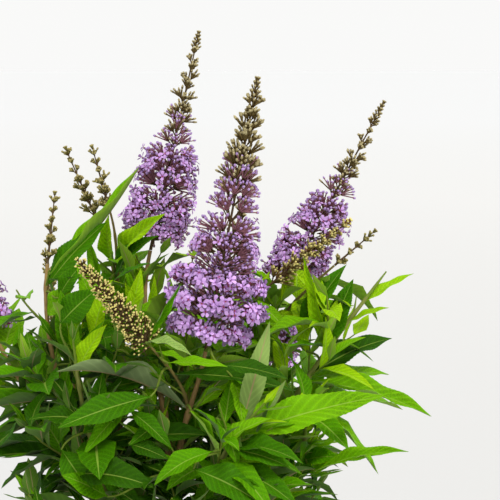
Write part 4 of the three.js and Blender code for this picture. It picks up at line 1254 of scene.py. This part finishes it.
BUD = {**SLIM, "stalk": 0.9, "fans": (1.1, 1.1), "young": 0, "two": 4, "buds": ("green", "green")}
LOOKS = {
    "flower": SLIM,
    "full": FULL,
    "bud": BUD,
    "pale": {**BUD, "buds": ("green", "cream")},
    "balls": {**BUD, "buds": ("cream", "cream"), "tip_bud": (0.5, BALL)},
}


def fanned(lead, way, spin, lean):
    """A way that leans off a lead, to the side that a spin gives."""
    side = square_to(lead, way)
    across = lead.cross(side)
    return lead * math.cos(lean) + (side * math.cos(spin) + across * math.sin(spin)) * math.sin(lean)


class Spray:
    """Everything that the spikes carry: stalks, florets and buds."""

    def __init__(self, floret_size, bud_size):
        self.floret_size, self.bud_size = floret_size, bud_size
        self.stalks = []
        self.florets = {name: [] for name in ("pale", "mid", "deep")}
        self.buds = {name: [] for name in ("lilac", "olive", "green", "cream")}
        for number, spike in enumerate(GROWTH.spikes):
            self.spike, self.axis, self.look = spike, spike["axis"], LOOKS[spike["look"]]
            self.draw = numbers_from(900 + number)
            self.grow()

    def sway(self):
        """A number from -0.5 to 0.5."""
        return self.draw() - 0.5

    def grow(self):
        spike, look, steps = self.spike, self.look, 26
        shares = [i / steps for i in range(steps + 1)]
        self.stalks.append([(self.axis.point(share), look["stalk"] * (1 - 0.66 * share)) for share in shares])
        blown = [whorl for whorl in spike["whorls"] if whorl["blown"]]
        shut = [whorl for whorl in spike["whorls"] if not whorl["blown"]]
        bands = bands_of(blown, spike["length"], look["bands"])
        for number, band in enumerate(bands):
            late = band["crest"] / SPIKES["flower"]["open"]
            make = self.tube_whorl if late > look["half_open"] else self.blown_whorl
            make(band, number, late)
        for low, high in zip(bands, bands[1:]):
            self.fill(low, high)
        if spike["look"] == "balls":
            for whorl in shut:
                self.ball_whorl(whorl)
        else:
            for number, whorl in enumerate(bands_of(shut, spike["length"], look["bud_bands"])):
                self.bud_whorl(whorl, number)
        self.add_tip()

    def add_bud(self, tone, base, aim, length, thick, kind):
        size = self.bud_size * thick * (0.88 + 0.24 * self.draw())
        self.buds[tone].append((base, self.stand_up(aim), (size, size, length), kind))

    def add_floret(self, tone, spot, aim, size):
        self.florets[tone].append((spot, self.stand_up(aim), (size, size, size), math.floor(4 * self.draw())))

    def stand_up(self, aim):
        """The turn that carries +Z to an aim, and then some turn about it."""
        return aim.to_track_quat("Z", "Y") @ Quaternion((0, 0, 1), 6.283 * self.draw())

    def head_way(self, way, number, head, heads, loose):
        """The way out to a head of a whorl; each whorl is turned by half a head against the last."""
        return heading_round(way, 360 * (head + 0.5 * (number % 2) + loose * self.sway()) / heads)

    def fill(self, low, high):
        """Shut tubes between two bands, deep inside, where the open florets leave room."""
        draw, radius = self.draw, (low["radius"] + high["radius"]) / 2
        thick = self.look["fill"][0 if high["crest"] < 0.3 else 1]
        for k in range(round(thick * radius)):
            share = mix(low["crest"], high["crest"], 0.15 + 0.6 * draw())
            way = self.axis.way(share)
            out = heading_round(way, GOLDEN_DEGREES * k + 50 * draw())
            aim = (out + way * (0.15 + 0.7 * draw())).normalized()
            length = 8.5 + 4 * draw()
            inside = max(radius * (0.55 + 0.3 * draw()) - length, 1)
            self.add_bud("lilac", self.axis.point(share) + aim * inside - way * 4, aim, length, 1.0, LONG)

    def tube_whorl(self, whorl, number, late):
        """A ring of fans of long tubes with lilac knobs, a few of them just open."""
        draw, radius = self.draw, whorl["radius"] * 0.97
        way, foot = self.axis.way(whorl["foot"]), self.axis.point(whorl["foot"])
        heads, tubes = 6, 11
        for head in range(heads):
            out = self.head_way(way, number, head, heads, 0.3)
            lead = (out + way * (0.62 + 0.25 * self.sway())).normalized()
            centre = foot + lead * (radius * 0.36) + way * 2 * draw()
            self.stalks.append([(foot, 0.6), (centre, 0.45)])
            for k in range(tubes):
                aim = fanned(lead, way, GOLDEN * k + 0.6 * draw(), 0.62 * math.sqrt((k + 0.2) / tubes))
                length = min(14.5, radius * (0.62 + 0.25 * draw()))
                self.add_bud("lilac", centre, aim, length, 1.05, LONG)
                if draw() < max(0.1, 1.6 * (1 - late)):
                    size = self.floret_size * (0.7 + 0.3 * draw())
                    self.add_floret("mid", centre + aim * (length + 1), aim, size)

    def blown_whorl(self, whorl, number, late):
        """A ring of heads, each of them a bunch of open florets, which is wider than high where full."""
        draw, look, full = self.draw, self.look, self.spike["look"] == "full"
        narrow = mix(1, 0.66, late**3) - max(0, 0.3 - late) if full else mix(1.14, 0.7, late**2)
        shut = (late - 0.45) * 1.2 if full else 0.15 + late * 0.65
        radius = whorl["radius"] * narrow
        way, foot = self.axis.way(whorl["foot"]), self.axis.point(whorl["foot"])
        crest = self.axis.point(whorl["crest"])
        heads = max(4, round(2 * math.pi * radius / look["apart"]))
        for head in range(heads):
            out = self.head_way(way, number, head, heads, 0.5)
            across = way.cross(out)
            rise = mix(-0.1, 0.6, late) + look["rise"] * self.sway()
            lead = (out + way * rise).normalized()
            above = lead.cross(across)
            reach = max(radius - 10.5, 2) * (look["reach"] + 0.2 * draw())
            centre = crest + out * reach + way * (look["sway"] * self.sway() - 7 * rise)
            self.stalks.append([(foot, 0.6), (foot.lerp(centre, 0.5) - way * 0.6, 0.5), (centre, 0.45)])
            for k in range(look["florets"]):
                spin = GOLDEN * k + 0.8 * draw()
                lean = math.sqrt((k + 0.35) / look["florets"])
                wide, high = lean * math.cos(spin), look["height"] * lean * math.sin(spin)
                aim = (lead + across * wide + above * high).normalized()
                if draw() < shut:
                    self.add_bud("lilac", centre, aim, 9.5 + 3.5 * draw(), 1.0, LONG)
                    continue
                size = self.floret_size * (0.84 + 0.28 * draw()) * look["size"]
                spot = centre + aim * (8.4 * size + 2.4 * draw())
                loose = Vector((self.sway(), self.sway(), self.sway())) * 1.25
                # Each floret is dealt at random a lit, a middle or a shaded copy of the petal colour: partly
                # tone variety, partly painted light and shade.
                dealt = draw() - look["paler"]
                tone = "pale" if dealt < 0.42 else "mid" if dealt < 0.8 else "deep"
                self.add_floret(tone, spot, (aim + loose).normalized(), size)
            for _ in range(look["unopened"]):
                aim = (lead + across * 1.7 * self.sway() + above * (0.3 + draw() * 0.9)).normalized()
                self.add_bud("lilac", centre, aim, 8 + 3.5 * draw(), 0.85, LONG)

    def bud_whorl(self, whorl, number):
        """Branchlets in facing pairs that go out and up, each with a fan of buds like small clubs."""
        draw, look, flower = self.draw, self.look, self.spike["look"] in ("flower", "full")
        way, foot = self.axis.way(whorl["foot"]), self.axis.point(whorl["foot"])
        late = max(0, (whorl["crest"] - 0.43) / 0.57) if flower else 0.8
        radius = whorl["radius"] * mix(*look["fans"], late)
        heads = 2 if radius < look["two"] else 6 if late < look["six"] else 4
        for head in range(heads):
            out = heading_round(way, 90 * number + 360 * head / heads + 30 * self.sway())
            near = 0.7 if heads == 4 and head % 2 else 1.0
            rise = math.radians(mix(48, 62, late) + 10 * self.sway())
            lead = (out * math.cos(rise) + way * math.sin(rise)).normalized()
            centre = foot + lead * (0.3 * near * radius / math.cos(rise)) + way * (1.6 * self.sway())
            self.stalks.append([(foot, 0.55), (centre, 0.42)])
            size = max(4, 0.74 * near * radius / math.cos(rise))
            count = math.floor(mix(11, 7, late) + 1.6 * draw())
            young = 0.5 + 3.4 * (late - look["young"])
            for k in range(count):
                spin, lean = GOLDEN * k + 0.6 * draw(), mix(0.76, 0.58, late) * math.sqrt((k + 0.2) / count)
                aim = fanned(lead, way, spin, lean)
                length = min(13, size * (0.55 + 0.48 * draw()))
                tone, kind = (look["buds"][k % 2], TIGHT) if draw() < young else ("lilac", LONG)
                self.add_bud(tone, centre - aim * 0.1 * length, aim, length, look["bud"], kind)

    def ball_whorl(self, whorl):
        """Small round buds on brown stalks, thick all round the axis."""
        draw, radius = self.draw, whorl["radius"] * 1.3
        for k in range(round(6.4 * radius)):
            share = whorl["crest"] + self.sway() * whorl["step"] * 1.3 / self.spike["length"]
            way = self.axis.way(share)
            out = heading_round(way, GOLDEN_DEGREES * k + 40 * draw())
            aim = (out + way * (0.15 + 0.75 * draw())).normalized()
            reach = radius * (0.7 + 0.34 * draw())
            length = 4.2 + 1.0 * draw()
            base = self.axis.point(share) + aim * max(reach - length, 0.6) - way * 0.3 * reach
            self.add_bud("cream", base, aim, length, 0.62, BALL)
            if k % 3 == 0:
                self.stalks.append([(self.axis.point(share) - way * 0.3 * reach, 0.5), (base, 0.36)])

    def add_tip(self):
        """The spike's tip: tight young buds that close in on the axis."""
        last = self.spike["whorls"][-1]["crest"]
        rows = max(1, round((1 - last) * self.spike["length"] / 2.6))
        for row in range(rows + 1):
            share = mix(last + 0.01, 1.0, row / rows)
            way = self.axis.way(min(share, 0.999))
            size = mix(6.0, 3.6, row / rows) * self.look["tip"]
            base = self.axis.point(share) - way * size * 0.75
            for k in range(5):
                out = heading_round(way, 72 * k + 40 * row + 30 * self.sway())
                aim = (out * mix(0.85, 0.35, row / rows) + way).normalized()
                self.add_bud(self.look["buds"][1], base, aim, size, *self.look["tip_bud"])


def bands_of(whorls, length, pitch):
    """A spike's whorls of one sort, set out again as bands that are about so far apart."""
    if len(whorls) < 2:
        return whorls
    span = (whorls[-1]["crest"] - whorls[0]["crest"]) * length
    count = max(2, round(span / pitch) + 1)
    bands = []
    for number in range(count):
        place = number / (count - 1) * (len(whorls) - 1)
        low = min(math.floor(place), len(whorls) - 2)
        below, above = whorls[low], whorls[low + 1]
        bands.append({key: mix(below[key], above[key], place - low) for key in ("foot", "crest", "radius")})
    return bands


# ---------------------------------------------------------------- the user's values


def tint(name, description, colour):
    return FloatVectorProperty(
        name=name, description=description, size=3, subtype="COLOR", default=colour, min=0, max=1
    )


def depth(name, description, metres):
    metric = {"unit": "LENGTH", "subtype": "DISTANCE"}
    return FloatProperty(name=name, description=description, default=metres, min=0, max=0.002, **metric)


def factor(name, description, value=1.0, least=0.5, most=1.5):
    return FloatProperty(name=name, description=description, default=value, min=least, max=most)


class ShrubWood(bpy.types.PropertyGroup):
    """Trunk, boughs, stems and twigs."""

    furrow: depth("Furrow depth", "How deep the trunk's bark is furrowed", 0.0011)
    bark: tint("Bark", "Colour of the old bark", tone_of(112, 92, 66))
    cane: tint("Cane", "Colour of the flowering stems", tone_of(176, 144, 88))
    shoot: tint("Shoot", "Colour of the twigs and young shoots", tone_of(122, 146, 44))


class ShrubLeaves(bpy.types.PropertyGroup):
    """Leaves."""

    growth: factor("Growth", "Size of the leaves", most=1.2)
    vein: depth("Vein depth", "How far the veins are sunk", 0.0009)
    # From deep to young the greens are partly the leaves' age and partly painted light and shade: deep and
    # full for shaded leaves, bright and young for lit ones.
    deep: tint("Deep green", "The oldest leaves, low down and inside", tone_of(42, 82, 4))
    full: tint("Full green", "Grown leaves", tone_of(56, 106, 2))
    mid: tint("Mid green", "Leaves in good light", tone_of(78, 134, 2))
    bright: tint("Bright green", "Young leaves", tone_of(104, 158, 6))
    young: tint("Yellow green", "The youngest leaves", tone_of(138, 182, 10))
    under: tint("Underside", "The felted underside", tone_of(130, 150, 98))
    pale: tint("Pale underside", "The underside of a young leaf", tone_of(136, 164, 84))


class ShrubFlowers(bpy.types.PropertyGroup):
    """Blossom and buds."""

    floret: factor("Floret size", "Size of the florets")
    bud: factor("Bud size", "Thickness of the buds")
    petal: tint("Petal", "Colour of the open florets", tone_of(208, 166, 228))
    tube: tint("Tube", "Colour of the florets' tubes", tone_of(124, 62, 84))
    bud_tone: tint("Bud", "Colour of the tight buds", tone_of(108, 92, 54))


class ShrubStage(bpy.types.PropertyGroup):
    """Floor, light and camera."""

    floor: tint("Floor", "Colour of the floor", (0.7, 0.7, 0.695))
    sky: factor("Surround", "Brightness of the surround", 0.95, 0, 2)
    sun: factor("Key", "Strength of the key light", 1.6, 0, 10)
    field: FloatProperty(
        name="Field of view", description="The camera's horizontal field of view",
        default=math.radians(13.24), min=0.05, max=1.5, unit="ROTATION", subtype="ANGLE",
    )  # fmt: skip


FOLIAGE = tuple(node for node in frame["nodes"] if node.startswith("foliage_"))
SPIKE_NODES = tuple(node for node in frame["nodes"] if node.startswith(("flower_", "bud_")))
BOUGH_NODES = tuple(node for node in frame["nodes"] if node.startswith("bough_"))

# ---------------------------------------------------------------- the pieces


class SHRUB_OT_trunk(bpy.types.Operator):
    """Makes the trunk, with its furrowed bark"""

    bl_idname = "shrub.trunk"
    bl_label = "Trunk"

    def execute(self, context):
        wood = context.scene.shrub_wood
        around, rows = 90, 44
        head = trunk_head()
        mesh = bmesh.new()
        rings = []
        for row in range(rows + 1):
            share = row / rows
            ring = []
            for k in range(around):
                turn = 2 * math.pi * k / around
                out = Vector((math.cos(turn), math.sin(turn), 0))
                spot = out * 7 + UP * (share * 9)  # the bark's place in the noise, longer than it is wide
                furrow = noise.fractal(spot * 0.55, 0.7, 2.2, 4) + 0.6 * noise.noise(spot * 2.1)
                edge = min(1, 12 * share, 14 * (1 - share))
                radius = trunk_radius(share, turn) - 0.5 + edge * wood.furrow / MM * max(-1, min(1, furrow))
                ring.append(mesh.verts.new((head * share + out * radius) * MM))
            rings.append(ring)
        self.wall(mesh, rings)
        mesh.faces.new(list(reversed(rings[0])))
        self.wall(mesh, [rings[-1], *self.head_rings(mesh, rings[-1], head)])
        bmesh.ops.remove_doubles(mesh, verts=mesh.verts, dist=1e-7)
        data = bpy.data.meshes.new("trunk_bark")
        mesh.to_mesh(data)
        mesh.free()
        data.polygons.foreach_set("use_smooth", [True] * len(data.polygons))
        data.materials.append(bark_finish("old_bark", tuple(wood.bark), tone_of(46, 36, 26)))
        kept(new_piece("trunk_bark", data), "bark", "trunk")
        return {"FINISHED"}

    def wall(self, mesh, rings):
        """Faces between each ring and the next."""
        for low, high in zip(rings, rings[1:]):
            for k in range(len(low)):
                after = (k + 1) % len(low)
                mesh.faces.new((low[k], low[after], high[after], high[k]))

    def head_rings(self, mesh, rim, head):
        """The trunk's head: rings that close on its middle, in low swells between the boughs."""
        steps = 6
        for step in range(1, steps + 1):
            share = step / steps
            ring = []
            for vertex in rim:
                place = vertex.co.lerp(head * MM, share)
                if share < 1:
                    swell = 0.35 * math.sin(math.pi * share) * noise.noise(place * 260)
                    place.z += MM * (swell - 0.2 * share)
                ring.append(mesh.verts.new(place))
            yield ring


class SHRUB_OT_boughs(bpy.types.Operator):
    """Makes the seven boughs, with their fibrous bark"""

    bl_idname = "shrub.boughs"
    bl_label = "Boughs"

    def execute(self, context):
        finish = bark_finish("bough_bark", tone_of(124, 100, 66), tone_of(58, 44, 28))
        lines = [self.line_of(bough_axis(name)) for name in BOUGHS]
        values = {"Sides": 18, "Relief": 0.0011, "Relief scale": 340.0, "Finish": finish}
        kept(limb_piece("boughs", lines, limb_tree(), **values), "cane", *BOUGH_NODES)
        return {"FINISHED"}

    def line_of(self, axis):
        """A bough's points, with the swelling at its tip that carries the stems."""
        steps = max(30, round(axis.length() / 1.6))
        line = []
        for share in (i / steps for i in range(steps + 1)):
            radius = mix(BOUGH["foot"], BOUGH["tip"], share) + BOUGH["swelling"] * share**14
            line.append((axis.point(share), radius - 0.1))
        return line


class SHRUB_OT_stems(bpy.types.Operator):
    """Makes the stems, twigs and young shoots"""

    bl_idname = "shrub.stems"
    bl_label = "Stems and twigs"

    def execute(self, context):
        wood = context.scene.shrub_wood
        tree = limb_tree()
        cane, shoot, green = tuple(wood.cane), tuple(wood.shoot), tone_of(138, 146, 66)
        kinds = (
            ("stems", "stem", 12, 0.0005, "cane", cane, tone_of(112, 88, 50)),
            ("side_stems", "side stem", 9, 0.0003, "thin_cane", tone_of(134, 122, 62), tone_of(92, 76, 36)),
            ("leafy_stems", "leafy stem", 10, 0.0003, "green_cane", green, scaled(green, 0.6)),
            ("low_stems", "low stem", 10, 0.0004, "low_cane", tone_of(124, 118, 56), tone_of(80, 70, 32)),
            ("twigs", "twig", 7, 0.0001, "green_twig", tone_of(128, 142, 48), tone_of(88, 104, 30)),
            ("shoots", "shoot", 6, 0.0001, "green_shoot", shoot, scaled(shoot, 0.7)),
        )
        for name, kind, sides, relief, finish, colour, dark in kinds:
            lines = [self.line_of(limb) for limb in GROWTH.limbs if limb["kind"] == kind]
            values = {"Sides": sides, "Relief": relief, "Relief scale": 420.0}
            piece = limb_piece(name, lines, tree, Finish=stem_finish(finish, colour, dark), **values)
            kept(piece, "cane", *FOLIAGE)
        return {"FINISHED"}

    def line_of(self, limb):
        """A limb's points, a little swollen at its joints."""
        axis, joints = limb["axis"], limb["joints"]
        length = axis.length()
        steps = max(5, round(length / (2.2 if limb["kind"].endswith("stem") else 4)))
        line = []
        for share in (i / steps for i in range(steps + 1)):
            nearest = min(abs(share - joint) for joint in joints) * length
            radius = mix(limb["foot"], limb["tip"], share)
            line.append((axis.point(share), radius * (1 + 0.28 * math.exp(-((nearest / 2.4) ** 2)))))
        return line


class SHRUB_OT_leaves(bpy.types.Operator):
    """Sets out the leaves, each green on its own piece"""

    bl_idname = "shrub.leaves"
    bl_label = "Leaves"

    def execute(self, context):
        leaves = context.scene.shrub_leaves
        tree = setting_out_tree("leaves set out", "Upper", "Under", "Rib")
        large, small = (-1, -0.55, -0.06, 0.06, 0.55, 1), (-1, -0.08, 0.08, 1)
        fine = (-1, -0.8, -0.4, -0.04, 0.04, 0.4, 0.8, 1)
        families = {
            "large": family_of_blades("blades", BLADE, large, BLADE_WAYS, 0.035),
            "small": family_of_blades("small_blades", SMALL_BLADE, small, SMALL_WAYS, 0),
            "fine": family_of_blades("fine_blades", fine_outline(), fine, BLADE_WAYS, 0.026),
        }
        dull = under_finish("leaf_underside", tone_of(92, 132, 40))
        fresh = under_finish("young_underside", tone_of(142, 184, 44))
        grey = under_finish("felted_underside", tuple(leaves.under))
        pale = under_finish("pale_underside", tuple(leaves.pale))
        # The bright and young greens, which carry painted light, get the lighter underside.
        unders = {"bright": fresh, "young": fresh, "under": grey, "pale": pale}
        for number, green in enumerate(GREENS):
            colour = tuple(getattr(leaves, green))
            roughness = 0.7 if green in ("under", "pale") else 0.5
            rib_colour = tuple(mix(part, light, 0.35) for part, light in zip(colour, tone_of(180, 206, 84)))
            finishes = {
                "Upper": leaf_finish("leaf_" + green, colour, leaves.vein, roughness),
                "Under": unders.get(green, dull),
                "Rib": rib_finish("rib_" + green, rib_colour),
            }
            those = [leaf for leaf in GROWTH.leaves if leaf["green"] == number]
            for label, family in families.items():
                chosen = [leaf for leaf in those if self.family_of(leaf) == label]
                if chosen:
                    spots = [self.spot_of(leaf, label, k) for k, leaf in enumerate(chosen)]
                    name = f"leaves_{green}_{label}"
                    piece = set_out_piece(name, spots, tree, family.collection, leaves.growth, **finishes)
                    kept(piece, "leaf", *FOLIAGE)
        for family in families.values():
            family.clear()
        return {"FINISHED"}

    def family_of(self, leaf):
        return "small" if leaf.get("small") else "fine" if leaf.get("set") else "large"

    def spot_of(self, leaf, family, number):
        """A leaf's place, turn, size and the number of its shape in its family."""
        reach = leaf["tip"] - leaf["base"]
        length, width = reach.length, leaf["width"]
        dealt = numbers_from(number + math.floor(7 * length))()
        if family == "small":
            kind = math.floor(3 * dealt)
        elif family == "fine":
            kind = (0, 1, 5)[math.floor(3 * dealt)] if width > 0.15 * length else 6
        else:
            kind = math.floor(6 * dealt)
            width *= 1.22
        return leaf["base"], stand(reach, leaf["face"]), (length, width, length), kind


class SHRUB_OT_flowers(bpy.types.Operator):
    """Sets out the spikes' florets and buds on their stalks"""

    bl_idname = "shrub.flowers"
    bl_label = "Flower spikes"

    def execute(self, context):
        flowers = context.scene.shrub_flowers
        spray = Spray(flowers.floret, flowers.bud)
        petal = tuple(flowers.petal)
        stalk = stem_finish("spike_stalk", tone_of(104, 82, 46), tone_of(62, 46, 28))
        values = {"Sides": 6, "Relief": 0.0001, "Relief scale": 600.0, "Finish": stalk}
        kept(limb_piece("spike_stalks", spray.stalks, limb_tree(), **values), "bud", *SPIKE_NODES)

        florets = family_of_florets()
        tree = setting_out_tree("florets set out", "Lobes", "Eye", "Tube", "Calyx", "Throat")
        shared = {
            "Eye": plain_finish("floret_eye", tone_of(168, 84, 40)),
            "Tube": plain_finish("floret_tube", tuple(flowers.tube)),
            "Calyx": plain_finish("floret_calyx", tone_of(84, 70, 40)),
            "Throat": plain_finish("floret_throat", tone_of(164, 104, 172)),
        }
        # Lit, middle and shaded copies of one petal colour: partly the florets' tone variety, partly painted
        # light and shade.
        for name, bright, dim in (("pale", 1.22, 1.02), ("mid", 0.94, 0.76), ("deep", 0.62, 0.48)):
            lobes = petal_finish(f"petals_{name}", scaled(petal, bright), scaled(petal, dim))
            spots = spray.florets[name]
            piece = set_out_piece("florets_" + name, spots, tree, florets.collection, Lobes=lobes, **shared)
            kept(piece, "blossom", *SPIKE_NODES)
        florets.clear()

        buds = family_of_buds()
        tree = setting_out_tree("buds set out", "Stalk", "Tube", "Knob")
        calyx = plain_finish("bud_calyx", tone_of(92, 72, 38))
        brown = plain_finish("ball_stalk", tone_of(96, 66, 40))
        kinds = (
            ("lilac", calyx, tone_of(160, 112, 122), tone_of(178, 148, 202), "blossom"),
            ("olive", calyx, tuple(flowers.bud_tone), tone_of(176, 164, 122), "bud"),
            ("green", calyx, tone_of(118, 112, 58), tone_of(164, 152, 98), "bud"),
            ("cream", brown, tone_of(128, 96, 50), tone_of(222, 208, 128), "bud"),
        )
        for tone, stalk, tube, knob, slot in kinds:
            name, finishes = "buds_" + tone, {"Stalk": stalk}
            finishes["Tube"] = plain_finish(name + "_tube", tube)
            finishes["Knob"] = plain_finish(name + "_knob", knob)
            piece = set_out_piece(name, spray.buds[tone], tree, buds.collection, **finishes)
            kept(piece, slot, *SPIKE_NODES)
        buds.clear()
        return {"FINISHED"}


class SHRUB_OT_stage(bpy.types.Operator):
    """Makes the floor, the surround, the lights and the camera"""

    bl_idname = "shrub.stage"
    bl_label = "Stage"

    def execute(self, context):
        scene, stage = context.scene, context.scene.shrub_stage
        scene.view_settings.view_transform = "Standard"
        floor = bmesh.new()
        bmesh.ops.create_circle(floor, cap_ends=True, segments=96, radius=120)
        mesh = bpy.data.meshes.new("floor")
        floor.to_mesh(mesh)
        floor.free()
        mesh.materials.append(self.floor_finish(tuple(stage.floor)))
        new_piece("floor", mesh)
        world = bpy.data.worlds.new("surround")
        world.use_nodes = True
        surround = world.node_tree.nodes["Background"].inputs
        surround["Color"].default_value = (1, 1, 0.99, 1)
        surround["Strength"].default_value = stage.sky
        scene.world = world
        light = bpy.data.lights.new("key", "SUN")
        light.energy, light.angle, light.color = stage.sun, math.radians(14), (1, 0.98, 0.94)
        lamp = new_piece("key", light)
        lamp.rotation_euler = (math.radians(38), 0, math.radians(32))
        self.add_camera(scene, stage.field)
        return {"FINISHED"}

    def add_camera(self, scene, field):
        """A camera 1.4 m in front of the shrub's upper half, 5 degrees above it."""
        film, rise = 36, math.radians(5)
        camera = bpy.data.cameras.new("camera")
        camera.lens, camera.sensor_width, camera.clip_end = film / 2 / math.tan(field / 2), film, 200
        spot = new_piece("camera", camera)
        target = Vector((49, -40, 362.5)) * MM
        spot.location = target + Vector((0, -math.cos(rise), math.sin(rise))) * 1.4
        spot.rotation_euler = (math.radians(85), 0, 0)
        scene.camera = spot

    def floor_finish(self, colour):
        """A pale floor with painted light: darker near the shrub, lighter and a little bluer far off, where
        it meets the surround.
        """
        finish = Finish("floor", 0.95, 0.1)
        away = finish.add("ShaderNodeVectorMath", {"Vector": finish.place()}, operation="LENGTH")
        share = finish.maths("DIVIDE", away.outputs["Value"], 20.0)
        # Painted light: the floor is darker near the shrub and lighter, a little bluer, far off, to meet the
        # lit surround.
        far = (colour[0], colour[1] * 1.01, colour[2] * 1.03)
        stops = (0.05, scaled(colour, 0.91)), (0.3, scaled(colour, 0.98)), (0.8, far)
        finish.colour(finish.ramp(share, *stops))
        return finish.material


class SHRUB_PT_sidebar(bpy.types.Panel):
    """Lists the shrub's pieces and their values"""

    bl_label = "Butterfly bush"
    bl_idname = "SHRUB_PT_sidebar"
    bl_space_type = "VIEW_3D"
    bl_region_type = "UI"
    bl_category = "Butterfly bush"

    def draw(self, context):
        for label, group, operators in SECTIONS:
            box = self.layout.box()
            box.label(text=label)
            values = getattr(context.scene, group)
            for name in values.bl_rna.properties.keys():
                if name not in ("rna_type", "name"):
                    box.prop(values, name)
            for operator in operators:
                box.operator(operator)


GROUPS = {
    "shrub_wood": ShrubWood,
    "shrub_leaves": ShrubLeaves,
    "shrub_flowers": ShrubFlowers,
    "shrub_stage": ShrubStage,
}
SECTIONS = (
    ("Wood", "shrub_wood", ("shrub.trunk", "shrub.boughs", "shrub.stems")),
    ("Leaves", "shrub_leaves", ("shrub.leaves",)),
    ("Flowers", "shrub_flowers", ("shrub.flowers",)),
    ("Stage", "shrub_stage", ("shrub.stage",)),
)
CLASSES = (
    *GROUPS.values(),
    SHRUB_OT_trunk,
    SHRUB_OT_boughs,
    SHRUB_OT_stems,
    SHRUB_OT_leaves,
    SHRUB_OT_flowers,
    SHRUB_OT_stage,
    SHRUB_PT_sidebar,
)


def register():
    for made in CLASSES:
        bpy.utils.register_class(made)
    for name, group in GROUPS.items():
        setattr(bpy.types.Scene, name, PointerProperty(type=group))


def unregister():
    for name in GROUPS:
        delattr(bpy.types.Scene, name)
    for made in reversed(CLASSES):
        bpy.utils.unregister_class(made)


def main():
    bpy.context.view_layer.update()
    register()
    bpy.ops.shrub.stage()
    bpy.ops.shrub.trunk()
    bpy.ops.shrub.boughs()
    bpy.ops.shrub.stems()
    bpy.ops.shrub.leaves()
    bpy.ops.shrub.flowers()
    bpy.context.view_layer.update()


if __name__ == "__main__":
    main()
